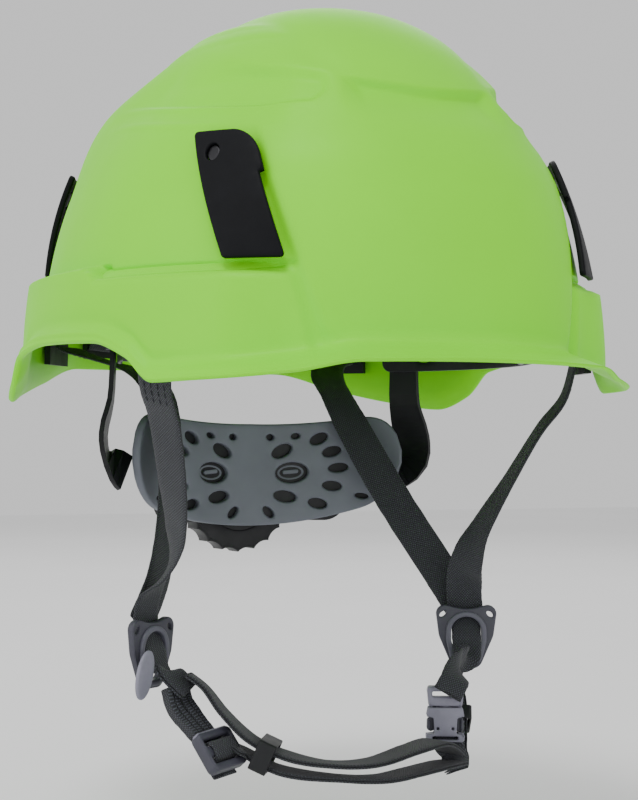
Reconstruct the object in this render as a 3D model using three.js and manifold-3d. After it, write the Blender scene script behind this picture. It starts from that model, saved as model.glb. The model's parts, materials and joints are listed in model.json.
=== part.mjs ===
// Climbing helmet for tree work. Millimetres, +Z up, -Y is the front, +X is the wearer's left.
// The origin is the centre of the head opening, level with the lower edge of the shell wall.

import * as THREE from 'three';
import { mergeVertices } from 'three/addons/utils/BufferGeometryUtils.js';
import Module from 'manifold-3d';

const wasm = await Module();
wasm.setup();

const DEGREE = Math.PI / 180;

// Shell: the dome is a superellipsoid with a longer and squarer rear half.
const DOME_HALF_WIDTH = 104;
const DOME_FRONT_REACH = 117.5;
const DOME_REAR_REACH = 137;
const DOME_HEIGHT = 147.5;
const DOME_CENTRE_Y = 7;
const DOME_LEAN = 5;
const PLAN_POWER = 2.08;
const SIDE_POWER = 2.06;
const FRONT_POWER_GAIN = 0.3;
const REAR_POWER_GAIN = 0.44;
const SHELL_THICKNESS = 2.6;
const SHELL_COLUMNS = 72;
const SHOULDER_LEVELS = [58, 82];

// Band that stands out round the sides and the rear of the shell.
const BAND_OFFSET = 7.5;
const BAND_TOP = 39;
const BAND_HEIGHT = 5;
const BAND_STEP = 2;
const BAND_STEP_ANGLE = 33;
const BAND_FULL_ANGLE = 48;
const SLOT_ANGLES = [35, 80];
const SLOT_DROP = 5;

// Lower edge and lip, by angle from the front in degrees: [angle, height] and [angle, offset].
const RIM_HEIGHTS = [
  [0, 2], [22, 1.5], [33, -2], [50, -4.5], [60, -5], [66, 3.7], [75, 9.3], [92, 10],
  [104, 6.4], [110, -4.5], [117, -10], [129, -6.5], [141, -1], [155, 6.5], [180, 7],
];
const LIP_OFFSETS = [[0, 22], [22, 21], [34, 17.5], [48, 16.5], [60, 10.5], [90, 9.5], [115, 13], [180, 11]];
const LIP_RISE = 11;

// Crown relief: a full ridge from front to rear that ends in a ledge over the brow, and on each
// side of it a scoop between a crease and the ridge's edge. Heights by angle from the front.
const CREASE_HEIGHTS = [[0, 103], [24, 103], [31, 96.2], [42, 95.8], [63, 98.2], [95, 104.2], [180, 110]];
const RIDGE_EDGE_HEIGHTS = [[0, 102], [14, 103.6], [27, 107], [47, 111], [70, 116], [100, 122], [180, 130]];
const LEDGE_DEPTH = 2.6;
const LEDGE_HALF_ANGLE = 20;
const SCOOP_DEPTH = 2.8;
const SCOOP_ANGLES = [27, 94];
const CROWN_FULLNESS = 0.8;
const CROWN_REAR_SINK = 4;
const REAR_SHOULDER_FULLNESS = 2.8;
const CROWN_INSET = 2;

// Lamp clips: a head fixed to the shell and a free tongue below it.
const CLIP_THICKNESS = 2.5;
const CLIP_HEAD_HEIGHT = 84;
const CLIP_HEAD_GAP = 2.3;
const CLIP_TONGUE_GAP = 3.4;
const CLIP_FRONT_FOOT = 37;
const CLIP_REAR_FOOT = 42.5;
const CLIP_BACK_ANGLES = [47.4, 57.6];
const CLIP_FRONT_ANGLES = [35.6, 41.2];
const CLIP_HOOK_ANGLES = [40.2, 50];
const CLIP_HOOK_LEVEL = 69;
const RIVET_ANGLE = 51.6;
const RIVET_LEVEL = 75;
const RIVET_RADIUS = 3;
const RIVET_DEPTH = 1.4;

// Suspension.
const HEADBAND_HALF_WIDTH = 78;
const HEADBAND_HALF_LENGTH = 98;
const HEADBAND_HEIGHT = 22;
const HEADBAND_LEVEL = 16;
const HEADBAND_END_ANGLE = 126;
const KEY_ANGLES = { front: 51, middle: 88, rear: 157 };
const KEY_HALF_ANGLE = 5;
const KEY_LEVELS = [11, 24];
const KEY_GAP = 0.6;
const KEY_THICKNESS = 2.4;
const CRADLE_STRAP_WIDTH = 19;
const CRADLE_STRAP_THICKNESS = 1;
const CRADLE_CROWN_LEVEL = 118;
const CRADLE_STRAP_SPACING = 2.6;
const CROWN_PAD_RADIUS = 27;
const CROWN_PAD_THICKNESS = 5;
const CROWN_PAD_LEVEL = 111.5;
const BROW_PAD_HALF_ANGLE = 62;
const BROW_PAD_THICKNESS = 5;

// Nape cradle: everything is concentric about one vertical axis behind the face.
const NAPE_AXIS_Y = -33;
const NAPE_RADIUS = 95;
const NAPE_PAD_THICKNESS = 4;
const NAPE_HALF_ANGLE = 40.5;
const PIVOT = new THREE.Vector3(69.6, 50, 15);
const PIVOT_RADIUS = 4.5;
const KNOB_LEVEL = -50;
const KNOB_RADIUS = 25;
const KNOB_DEPTH = 12;
const KNOB_RIBS = 20;
const KNOB_RIB_DEPTH = 1.4;
const PINION_TEETH = 12;
const PINION_RADIUS = 6;
const RACK_RADIUS = 102.3;
const RACK_ANGLES = [-13, 22];
const RACK_HEIGHT = 2.8;
const RACK_CLEARANCE = 1.4;
const CARRIER_HALF_HEIGHT = 11;
const COVER_HALF_ANGLE = 26;
const SCREW_ANGLE = 22.5;

// Webbing.
const KEEPER = new THREE.Vector3(-38.5, -30, -144);
const KEEPER_AXIS = new THREE.Vector3(0.74, -0.54, -0.4).normalize();
const KEEPER_UP = new THREE.Vector3(0.323, -0.236, 0.917).normalize();
const TAIL_KEEPER = new THREE.Vector3(62.5, -11.5, -140);
const TAIL_AXIS = new THREE.Vector3(6.4, 10.5, 18).normalize();
const WEB_WIDTH = 15;
const WEB_THICKNESS = 1.5;
const FRONT_ANCHOR_ANGLE = 64;
const FRONT_ANCHOR_LEVELS = [2, 22];
const REAR_ANCHOR_ANGLE = 138;
const REAR_ANCHOR_LEVELS = [6, 26];
const ANCHOR_HALF_ANGLE = 5.5;
const ANCHOR_GAP = 0.7;
const ANCHOR_THICKNESS = 2.6;
const ADJUSTER = new THREE.Vector3(72, 2, -106);
const TWIST = 28.5;
const ADJUSTER_THICKNESS = 3;
const ADJUSTER_COVER_SHIFT = new THREE.Vector3(-10.8, -5.9, 0);
const LOCK = new THREE.Vector3(-55.5, -25.5, -142);
const LOCK_AXIS = new THREE.Vector3(0.25, -0.75, 0.6).normalize();
const LOCK_ACROSS = new THREE.Vector3(0.88, 0.48, 0).normalize();
const BUCKLE = new THREE.Vector3(46.5, -22, -134.5);
const BUCKLE_SCALE = [0.8, 0.8, 0.95];

const V = (x, y, z) => new THREE.Vector3(x, y, z);
const mix = (a, b, t) => a + (b - a) * t;
const signedPower = (value, power) => Math.sign(value) * Math.abs(value) ** power;

function smoothStep(from, to, value) {
  const t = Math.min(1, Math.max(0, (value - from) / (to - from)));
  return t * t * (3 - 2 * t);
}

// Smooth curve through [x, y] pairs that never overshoots them.
function curveThrough(pairs) {
  const slopes = pairs.slice(1).map((p, i) => (p[1] - pairs[i][1]) / (p[0] - pairs[i][0]));
  const tangents = pairs.map((_, i) => {
    const before = slopes[i - 1];
    const after = slopes[i];
    return before * after > 0 ? (2 * before * after) / (before + after) : 0;
  });
  return (x) => {
    const i = Math.min(pairs.length - 2, Math.max(0, pairs.findIndex((p) => p[0] >= x) - 1));
    const [x0, y0] = pairs[i];
    const [x1, y1] = pairs[i + 1];
    const h = x1 - x0;
    const t = Math.min(1, Math.max(0, (x - x0) / h));
    const a = 2 * t ** 3 - 3 * t ** 2 + 1;
    const b = t ** 3 - 2 * t ** 2 + t;
    const c = t ** 3 - t ** 2;
    return a * y0 + b * h * tangents[i] + (1 - a) * y1 + c * h * tangents[i + 1];
  };
}

const rimHeight = curveThrough(RIM_HEIGHTS);
const lipOffset = curveThrough(LIP_OFFSETS);
const creaseHeight = curveThrough(CREASE_HEIGHTS);
const ridgeEdgeHeight = curveThrough(RIDGE_EDGE_HEIGHTS);

// Indexed geometry with its faces turned outwards.
function closedGeometry(points, faces) {
  let volume = 0;
  for (let i = 0; i < faces.length; i += 3) {
    const [a, b, c] = [points[faces[i]], points[faces[i + 1]], points[faces[i + 2]]];
    volume += a.dot(b.clone().cross(c));
  }
  if (volume < 0) faces.reverse();
  const geometry = new THREE.BufferGeometry().setFromPoints(points);
  geometry.setIndex(faces);
  geometry.computeVertexNormals();
  return geometry;
}

// Skin over a stack of rings; each end closes on a point or, without one, with a flat fan.
function loft(rings, startPoint = null, endPoint = null) {
  const count = rings[0].length;
  const points = rings.flat();
  const faces = [];
  for (let r = 0; r < rings.length - 1; r++) {
    for (let i = 0; i < count; i++) {
      const a = r * count + i;
      const b = r * count + ((i + 1) % count);
      faces.push(a, b, b + count, a, b + count, a + count);
    }
  }
  const closeEnd = (first, point, turn) => {
    const corner = (a, b, c) => faces.push(...(turn ? [a, c, b] : [a, b, c]));
    if (point) {
      points.push(point);
      for (let i = 0; i < count; i++) corner(first + i, first + ((i + 1) % count), points.length - 1);
    } else {
      for (let i = 1; i < count - 1; i++) corner(first, first + i, first + i + 1);
    }
  };
  closeEnd(0, startPoint, true);
  closeEnd((rings.length - 1) * count, endPoint, false);
  return closedGeometry(points, faces);
}

// Slab over a grid of points: lower(u, v) and upper(u, v) give its two faces, u and v from 0 to 1.
function slab(lower, upper, columns, rows) {
  const points = [];
  const faces = [];
  for (const side of [lower, upper]) {
    for (let j = 0; j <= rows; j++) {
      for (let i = 0; i <= columns; i++) points.push(side(i / columns, j / rows));
    }
  }
  const at = (side, i, j) => side * (columns + 1) * (rows + 1) + j * (columns + 1) + i;
  const quad = (a, b, c, d) => faces.push(a, b, c, a, c, d);
  const outwards = upper(0.5, 0.5).clone().sub(lower(0.5, 0.5));
  const bulges = (a, b, c, d) => {
    const ridge = points[a].clone().add(points[c]).sub(points[b]).sub(points[d]);
    return ridge.dot(outwards) > 0;
  };
  for (let j = 0; j < rows; j++) {
    for (let i = 0; i < columns; i++) {
      quad(at(0, i, j), at(0, i, j + 1), at(0, i + 1, j + 1), at(0, i + 1, j));
      const [a, b, c, d] = [at(1, i, j), at(1, i + 1, j), at(1, i + 1, j + 1), at(1, i, j + 1)];
      if (bulges(a, b, c, d)) quad(a, b, c, d);
      else quad(b, c, d, a);
    }
  }
  for (let i = 0; i < columns; i++) {
    quad(at(0, i, 0), at(0, i + 1, 0), at(1, i + 1, 0), at(1, i, 0));
    quad(at(0, i + 1, rows), at(0, i, rows), at(1, i, rows), at(1, i + 1, rows));
  }
  for (let j = 0; j < rows; j++) {
    quad(at(0, 0, j + 1), at(0, 0, j), at(1, 0, j), at(1, 0, j + 1));
    quad(at(0, columns, j), at(0, columns, j + 1), at(1, columns, j + 1), at(1, columns, j));
  }
  return closedGeometry(points, faces);
}

// Strip of webbing or plate through points, each with the direction that its face looks in.
function strip(stations, width, thickness, steps) {
  const centres = new THREE.CatmullRomCurve3(stations.map((s) => s.at), false, 'centripetal');
  const facings = new THREE.CatmullRomCurve3(stations.map((s) => s.facing));
  const widths = stations.map((s) => s.width ?? width);
  const rings = [];
  for (let i = 0; i <= steps; i++) {
    const t = i / steps;
    const centre = centres.getPoint(t);
    const across = centres.getTangent(t).cross(facings.getPoint(t)).normalize();
    const face = across.clone().cross(centres.getTangent(t)).normalize();
    const place = t * (stations.length - 1);
    const low = Math.min(stations.length - 2, Math.floor(place));
    const half = mix(widths[low], widths[low + 1], place - low) / 2;
    const corner = (side, level) => centre.clone()
      .addScaledVector(across, side * half).addScaledVector(face, (level * thickness) / 2);
    rings.push([corner(-1, -1), corner(1, -1), corner(1, 1), corner(-1, 1)]);
  }
  return loft(rings);
}

function toSolid(geometry) {
  const bare = geometry.clone();
  bare.deleteAttribute('normal');
  bare.deleteAttribute('uv');
  const merged = mergeVertices(bare, 1e-4);
  const mesh = new wasm.Mesh({
    numProp: 3,
    vertProperties: new Float32Array(merged.attributes.position.array),
    triVerts: new Uint32Array(merged.index.array),
  });
  return new wasm.Manifold(mesh);
}

function toGeometry(solid) {
  const mesh = solid.getMesh();
  const geometry = new THREE.BufferGeometry();
  geometry.setAttribute('position', new THREE.BufferAttribute(new Float32Array(mesh.vertProperties), 3));
  geometry.setIndex(new THREE.BufferAttribute(new Uint32Array(mesh.triVerts), 1));
  geometry.computeVertexNormals();
  return geometry;
}

function cut(geometry, ...tools) {
  return toGeometry(tools.reduce((body, tool) => body.subtract(toSolid(tool)), toSolid(geometry)));
}

function join(geometry, ...others) {
  return toGeometry(others.reduce((body, other) => body.add(toSolid(other)), toSolid(geometry)));
}

// Solid extruded from an outline in the XY plane and centred on z = 0.
function plate(shape, thickness, curveSegments = 6) {
  const geometry = new THREE.ExtrudeGeometry(shape, { depth: thickness, bevelEnabled: false, curveSegments });
  return geometry.translate(0, 0, -thickness / 2);
}

function roundedRectangle(width, height, radius) {
  const [x, y, r] = [width / 2, height / 2, radius];
  const shape = new THREE.Shape();
  shape.absarc(x - r, y - r, r, 0, Math.PI / 2);
  shape.absarc(-x + r, y - r, r, Math.PI / 2, Math.PI);
  shape.absarc(-x + r, -y + r, r, Math.PI, 1.5 * Math.PI);
  shape.absarc(x - r, -y + r, r, 1.5 * Math.PI, 2 * Math.PI);
  return shape;
}

function disc(radius, depth, sides = 20) {
  return new THREE.CylinderGeometry(radius, radius, depth, sides);
}

// Point of the dome at an angle from the front and a height, moved out along the surface's normal.
function domePoint(angle, height, offset) {
  const [s, c] = [Math.sin(angle), Math.cos(angle)];
  const reach = c > 0 ? DOME_FRONT_REACH : DOME_REAR_REACH;
  const gain = c > 0 ? FRONT_POWER_GAIN : REAR_POWER_GAIN;
  const power = SIDE_POWER + gain * c * c;
  const level = Math.max(0, height) / DOME_HEIGHT;
  const spread = (1 - level ** power) ** (1 / power);
  const point = V(
    DOME_HALF_WIDTH * signedPower(s, 2 / PLAN_POWER) * spread,
    DOME_CENTRE_Y - reach * signedPower(c, 2 / PLAN_POWER) * spread + DOME_LEAN * level,
    height,
  );
  const normal = V(
    point.x / DOME_HALF_WIDTH ** 2,
    (point.y - DOME_CENTRE_Y) / reach ** 2,
    Math.max(0, height) / DOME_HEIGHT ** 2,
  ).normalize();
  return point.addScaledVector(normal, offset);
}

function absoluteDegrees(angle) {
  return Math.abs(Math.atan2(Math.sin(angle), Math.cos(angle))) / DEGREE;
}

// How much fuller than the plain dome the crown and its rear shoulder are.
function crownFullness(degrees, height) {
  const gain = CROWN_FULLNESS - CROWN_REAR_SINK * smoothStep(90, 130, degrees);
  const crown = smoothStep(104, 140, height) * (1 - smoothStep(141.5, DOME_HEIGHT, height));
  const rear = smoothStep(90, 125, degrees) * smoothStep(72, 102, height) * (1 - smoothStep(103, 128, height));
  return gain * crown + REAR_SHOULDER_FULLNESS * rear;
}

// Depth of the hollow under the front ledge and of the scoops at the sides.
function crownHollows(degrees, height) {
  const edge = ridgeEdgeHeight(degrees);
  const crease = creaseHeight(degrees);
  const ledge = (1 - smoothStep(LEDGE_HALF_ANGLE - 3, LEDGE_HALF_ANGLE + 4, degrees))
    * smoothStep(edge - 16, edge - 1, height) * (1 - smoothStep(edge - 1, edge + 3, height));
  const scoop = smoothStep(SCOOP_ANGLES[0] - 2, SCOOP_ANGLES[0] + 2, degrees)
    * (1 - smoothStep(SCOOP_ANGLES[1] - 12, SCOOP_ANGLES[1] + 12, degrees))
    * smoothStep(crease - 8, crease + 3, height) * (1 - smoothStep(edge - 3, edge + 5, height));
  return LEDGE_DEPTH * ledge + SCOOP_DEPTH * scoop;
}

// How far the outer surface stands off the plain dome.
function shellRelief(angle, height) {
  const degrees = absoluteDegrees(angle);
  const step = BAND_STEP / BAND_OFFSET;
  const band = mix(
    step * smoothStep(BAND_STEP_ANGLE - 2, BAND_STEP_ANGLE + 2, degrees), 1,
    smoothStep(BAND_STEP_ANGLE, BAND_FULL_ANGLE, degrees),
  );
  const inSlot = smoothStep(SLOT_ANGLES[0] - 1, SLOT_ANGLES[0] + 1, degrees)
    * (1 - smoothStep(SLOT_ANGLES[1] - 1, SLOT_ANGLES[1] + 1, degrees));
  const bandTop = BAND_TOP - SLOT_DROP * inSlot;
  const rim = rimHeight(degrees);
  const stand = BAND_OFFSET * band * (1 - smoothStep(bandTop - BAND_HEIGHT, bandTop, height));
  const flare = Math.max(0, 1 - (height - rim) / LIP_RISE) ** 2;
  return mix(stand, lipOffset(degrees), flare) + crownFullness(degrees, height) - crownHollows(degrees, height);
}

function shell() {
  const crownTurns = [4, 10, 17, 25, 33, 40, 45.5, 49.5, 54, 60, 66, 71].map((t) => t * DEGREE);
  const crownLevels = crownTurns.map((t) => DOME_HEIGHT * Math.cos(t) ** (2 / 2.2));
  const bandLevels = [BAND_TOP, 36.5, BAND_TOP - BAND_HEIGHT, 29, 20];
  const rimFractions = [0.5, 0.25, 0.1, 0];
  const ring = (point) => Array.from({ length: SHELL_COLUMNS }, (_, i) => point((2 * Math.PI * i) / SHELL_COLUMNS));
  const rimLevel = (angle, fraction) => mix(rimHeight(absoluteDegrees(angle)), 20, fraction);
  const outer = (height) => (angle) => domePoint(angle, height, shellRelief(angle, height));
  const outerRim = (fraction) => (angle) => outer(rimLevel(angle, fraction))(angle);
  const inner = (height) => (angle) => {
    const inset = CROWN_INSET * smoothStep(...SHOULDER_LEVELS, height);
    const crown = crownFullness(absoluteDegrees(angle), height) - inset;
    const stand = height < BAND_TOP + 1 ? shellRelief(angle, height) : crown;
    return domePoint(angle, height, stand - SHELL_THICKNESS);
  };
  const innerRim = (fraction) => (angle) => inner(rimLevel(angle, fraction))(angle);
  const rings = [
    ...crownLevels.map(outer),
    ...bandLevels.map(outer),
    ...rimFractions.map(outerRim),
    ...[...rimFractions].reverse().map(innerRim),
    ...[20, 31, BAND_TOP + 1, 66, 95, 118, 134, 142].map(inner),
  ].map(ring);
  const top = domePoint(0, DOME_HEIGHT, 0.2);
  const under = domePoint(0, DOME_HEIGHT, -CROWN_INSET - SHELL_THICKNESS);
  return loft(rings, top, under);
}

// Curved plate that follows the dome between two edges; edge(height) gives an angle in degrees.
function domePlate(fromEdge, toEdge, heights, gap, thickness, columns, rows) {
  const at = (level) => (u, v) => {
    const height = mix(heights[0], heights[1], v);
    const angle = mix(fromEdge(height), toEdge(height), u) * DEGREE;
    return domePoint(angle, height, gap(height) + level);
  };
  return slab(at(0), at(thickness), columns, rows);
}

// Clip edges lean forwards towards the foot; the rear clips are the same with the angle mirrored.
function lampClip(side, rear) {
  const turn = (degrees) => side * (rear ? 180 - degrees : degrees);
  const foot = rear ? CLIP_REAR_FOOT : CLIP_FRONT_FOOT;
  const along = (height, top) => (height - CLIP_FRONT_FOOT) / (top - CLIP_FRONT_FOOT);
  const backEdge = (height) => turn(mix(...CLIP_BACK_ANGLES, along(height, CLIP_HEAD_HEIGHT)));
  const hook = (height) => mix(...CLIP_HOOK_ANGLES, smoothStep(CLIP_HOOK_LEVEL - 3, CLIP_HOOK_LEVEL + 27, height));
  const frontEdge = (height) => turn(
    height > CLIP_HOOK_LEVEL ? hook(height) : mix(...CLIP_FRONT_ANGLES, along(height, CLIP_HOOK_LEVEL)),
  );
  const gap = (height) => mix(CLIP_TONGUE_GAP, CLIP_HEAD_GAP, (height - foot) / (CLIP_HEAD_HEIGHT - foot));
  return domePlate(backEdge, frontEdge, [foot, CLIP_HEAD_HEIGHT], gap, CLIP_THICKNESS, 4, 8);
}

// Short round body standing on the dome with its axis along the surface's normal.
function studOnDome(angle, height, base, depth, radius) {
  const from = domePoint(angle, height, base);
  const to = domePoint(angle, height, base + depth);
  const geometry = disc(radius, depth, 16);
  const turn = new THREE.Quaternion().setFromUnitVectors(V(0, 1, 0), to.clone().sub(from).normalize());
  return geometry.applyQuaternion(turn).translate(...from.add(to).multiplyScalar(0.5).toArray());
}

function suspensionKey(angle) {
  const edge = (side) => () => angle + side * KEY_HALF_ANGLE;
  return domePlate(edge(-1), edge(1), KEY_LEVELS, () => KEY_GAP, KEY_THICKNESS, 3, 2);
}

function cradleStrap(fromAngle, toAngle, crown) {
  const facing = (a, lift) => V(Math.sin(a), -Math.cos(a), lift).normalize();
  const rise = (a) => [
    { at: domePoint(a, 14, -1.6), facing: facing(a, 0) },
    { at: domePoint(a, 40, -8.5), facing: facing(a, 0.3) },
    { at: domePoint(a, 76, -15), facing: facing(a, 0.8) },
    { at: V(28 * Math.sin(a), DOME_CENTRE_Y - 30 * Math.cos(a), crown - 1.5), facing: V(0, 0, 1) },
  ];
  const centre = { at: V(0, DOME_CENTRE_Y, crown), facing: V(0, 0, 1) };
  const stations = [...rise(fromAngle), centre, ...rise(toAngle).reverse()];
  return strip(stations, CRADLE_STRAP_WIDTH, CRADLE_STRAP_THICKNESS, 24);
}

// Band on the head's ellipse, at an angle from the front in degrees and a distance off the ellipse.
function headbandPoint(degrees, offset, height) {
  const a = degrees * DEGREE;
  const [x, y] = [HEADBAND_HALF_WIDTH, HEADBAND_HALF_LENGTH];
  const normal = V(Math.sin(a) / x, -Math.cos(a) / y, 0).normalize();
  return V(x * Math.sin(a), -y * Math.cos(a), height).addScaledVector(normal, offset);
}

function headbandArc(halfAngle, offset, thickness, low, high, columns, rows) {
  const at = (level) => (u, v) => headbandPoint(mix(-halfAngle, halfAngle, u), offset + level, mix(low, high, v));
  return slab(at(0), at(thickness), columns, rows);
}

// Point on a cylinder about the nape axis, by angle from the rear in degrees.
function napePoint(degrees, radius, height) {
  const a = degrees * DEGREE;
  return V(radius * Math.sin(a), NAPE_AXIS_Y + radius * Math.cos(a), height);
}

function napeSlab(angles, radii, low, high, columns, rows = 1) {
  const at = (radius) => (u, v) => {
    const degrees = mix(angles[0], angles[1], u);
    return napePoint(degrees, radius, mix(low(degrees), high(degrees), v));
  };
  return slab(at(radii[0]), at(radii[1]), columns, rows);
}

// Lower and upper edge of the nape pad, with rounded ends.
function napePadEdge(sign) {
  return (degrees) => {
    const t = Math.abs(degrees) / NAPE_HALF_ANGLE;
    const middle = mix(-41, -33, t * t);
    const half = sign > 0 ? mix(22, 21, t) : mix(22, 16, t * t);
    return middle + sign * half * Math.max(0.12, (1 - Math.max(0, (t - 0.72) / 0.28) ** 2.4)) ** 0.5;
  };
}

function napeArm(side) {
  const out = (x, y, z) => V(side * x, y, z);
  return strip([
    { at: out(69.4, 50.2, 25), facing: out(0.905, 0.426, 0), width: 13 },
    { at: out(69.6, 50.2, 6), facing: out(0.905, 0.426, 0), width: 14 },
    { at: out(70.3, 50.4, -10), facing: out(0.9, 0.43, 0), width: 15 },
    { at: out(73.5, 50, -24), facing: out(0.89, 0.46, 0), width: 18 },
    { at: out(72, 48.8, -34), facing: out(0.86, 0.47, -0.2), width: 19 },
    { at: out(63.5, 50.5, -40), facing: out(0.64, 0.77, 0), width: 17 },
  ], 15, 2, 15);
}

// Toothed arc of the rear band; side +1 is the upper one, which reaches to the wearer's left.
function rack(side) {
  const pitch = (2 * Math.PI * PINION_RADIUS) / PINION_TEETH / RACK_RADIUS / DEGREE;
  const [from, to] = RACK_ANGLES;
  const base = KNOB_LEVEL + side * (PINION_RADIUS + RACK_CLEARANCE);
  const far = base + side * RACK_HEIGHT;
  const order = (a, b) => (side > 0 ? [a, b] : [b, a]);
  const radii = [RACK_RADIUS - 1, RACK_RADIUS + 1];
  const bar = (angles, near, away) => {
    const [low, high] = order(near, away);
    return napeSlab(angles.map((a) => side * a), radii, () => low, () => high, 1);
  };
  const body = napeSlab([side * from, side * to], radii, () => order(base, far)[0], () => order(base, far)[1], 12);
  const teeth = [];
  for (let angle = -3.5 * pitch; angle <= 7.5 * pitch; angle += pitch) {
    teeth.push(bar([angle - 0.16 * pitch, angle + 0.16 * pitch], base - side * 1.9, base + side * 0.5));
  }
  return join(body, ...teeth);
}

function pinion() {
  const shape = new THREE.Shape();
  for (let i = 0; i < PINION_TEETH; i++) {
    const centre = (2 * Math.PI * i) / PINION_TEETH + Math.PI / 2;
    for (const [turn, radius] of [[-0.24, 4.7], [-0.09, 6.5], [0.09, 6.5], [0.24, 4.7]]) {
      const place = [radius * Math.cos(centre + turn), radius * Math.sin(centre + turn)];
      if (i === 0 && turn === -0.24) shape.moveTo(...place);
      else shape.lineTo(...place);
    }
  }
  const gear = plate(shape, 1.8);
  const shaft = disc(2.8, 3.6, 16).rotateX(Math.PI / 2).translate(0, 0, -1.9);
  return join(gear, shaft);
}

function knob() {
  const shape = new THREE.Shape();
  const steps = KNOB_RIBS * 4;
  for (let i = 0; i < steps; i++) {
    const a = (2 * Math.PI * i) / steps;
    const radius = KNOB_RADIUS - (i % 4 < 2 ? 0 : KNOB_RIB_DEPTH);
    if (i === 0) shape.moveTo(radius, 0);
    else shape.lineTo(radius * Math.cos(a), radius * Math.sin(a));
  }
  const recess = disc(7, 5, 20).rotateX(Math.PI / 2).translate(0, 0, KNOB_DEPTH / 2);
  return cut(plate(shape, KNOB_DEPTH), recess);
}

// Frame that the front, rear and chin straps pass through: rounded triangle with an arched opening.
function adjusterFrame() {
  const outline = new THREE.Shape();
  outline.absarc(9.3, 8.2, 3.4, -0.35, 1.9);
  outline.quadraticCurveTo(0, 8.6, -8.2, 11.4);
  outline.absarc(-9.3, 8.2, 3.4, Math.PI - 1.9, Math.PI + 0.35);
  outline.absarc(0, -9.5, 5.2, Math.PI + 0.45, 2 * Math.PI - 0.45);
  const arch = new THREE.Path();
  arch.moveTo(-6, -2.6);
  arch.absarc(0, -0.2, 6.3, Math.PI, 0, true);
  arch.lineTo(3.4, -9);
  arch.absarc(0, -9, 3.4, 0, -Math.PI, true);
  outline.holes.push(arch);
  return plate(outline, ADJUSTER_THICKNESS);
}

function adjusterCover() {
  const shape = new THREE.Shape();
  shape.absellipse(0, 0, 4.6, 9.4, 0, 2 * Math.PI);
  return plate(shape, 1.6, 12);
}

function cylinderAlong(from, to, radius) {
  const axis = to.clone().sub(from);
  const turn = new THREE.Quaternion().setFromUnitVectors(V(0, 1, 0), axis.clone().normalize());
  const middle = from.clone().add(to).multiplyScalar(0.5);
  return disc(radius, axis.length(), 16).applyQuaternion(turn).translate(...middle.toArray());
}

// Side-release buckle, upright: x across, y deep, z up. The socket is below and the plug above.
function buckleSocket() {
  const outline = new THREE.Shape();
  outline.moveTo(-9.5, -12.5);
  outline.lineTo(9.5, -12.5);
  outline.lineTo(9.8, -3.5);
  outline.quadraticCurveTo(8.6, 0, 8.6, 2);
  outline.lineTo(-8.6, 2);
  outline.quadraticCurveTo(-8.6, 0, -9.8, -3.5);
  const body = plate(outline, 8).rotateX(Math.PI / 2);
  const cavity = new THREE.BoxGeometry(15.6, 4, 12).translate(0, 0, -2.5);
  const windows = new THREE.BoxGeometry(24, 4.6, 7).translate(0, 0, -5.5);
  const slot = new THREE.BoxGeometry(13, 10, 1.8).translate(0, 0, -10.8);
  return cut(body, cavity, windows, slot);
}

function bucklePlug() {
  const head = new THREE.BoxGeometry(18, 7, 3.2).translate(0, 0, 4.2);
  const bar = new THREE.BoxGeometry(18, 3.4, 2.4).translate(0, 0, 9.6);
  const cheek = (side) => new THREE.BoxGeometry(2.4, 3.4, 8).translate(side * 7.8, 0, 7);
  const tongue = new THREE.BoxGeometry(4.4, 2.6, 9.5).translate(0, 0, -1.6);
  return join(head, bar, cheek(-1), cheek(1), tongue);
}

function bucklePinch(side) {
  const shape = new THREE.Shape();
  shape.moveTo(4.6, 2.3);
  shape.lineTo(6.6, 2.3);
  shape.lineTo(6.8, -1.8);
  shape.lineTo(9.3, -2.6);
  shape.lineTo(9.5, -6.8);
  shape.quadraticCurveTo(7.6, -8.2, 6, -7.8);
  shape.lineTo(4.9, -1.5);
  const geometry = plate(shape, 2.6, 3).rotateX(Math.PI / 2);
  return side > 0 ? geometry : geometry.rotateZ(Math.PI);
}

// Flat sleeve that webbing runs through.
function sleeve(width, height, length, wall) {
  const shape = roundedRectangle(width, height, 1.2);
  shape.holes.push(roundedRectangle(width - 2 * wall, height - 2 * wall, 0.4));
  return plate(shape, length, 2);
}

const webFace = (x, y, z) => V(x, y, z).normalize();
const viewSide = (side) => V(-side * Math.sin(TWIST * DEGREE), -Math.cos(TWIST * DEGREE), 0);

function besideAdjuster(side, forward, rise) {
  return V(side * ADJUSTER.x, ADJUSTER.y, ADJUSTER.z + rise).addScaledVector(viewSide(side), forward);
}

function frontStrap(side) {
  const flat = webFace(side, -0.54, 0);
  return strip([
    { at: domePoint(side * FRONT_ANCHOR_ANGLE * DEGREE, 7, -1.4), facing: flat },
    { at: V(side * 90, -41.5, -8), facing: flat },
    { at: V(side * 83.5, -35, -20), facing: flat },
    { at: V(side * 75.3, -24, -42), facing: webFace(side, -0.45, 0) },
    { at: V(side * 69, -13, -62), facing: webFace(side, -0.15, 0) },
    { at: V(side * 68, -5, -75), facing: webFace(side * 0.8, 0.5, 0) },
    { at: V(side * 72.2, 4, -87.5), facing: webFace(side * 0.5, 0.85, 0) },
    { at: besideAdjuster(side, -3.1, 6), facing: webFace(side * 0.48, 0.88, 0) },
  ], WEB_WIDTH, WEB_THICKNESS, 26);
}

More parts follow.
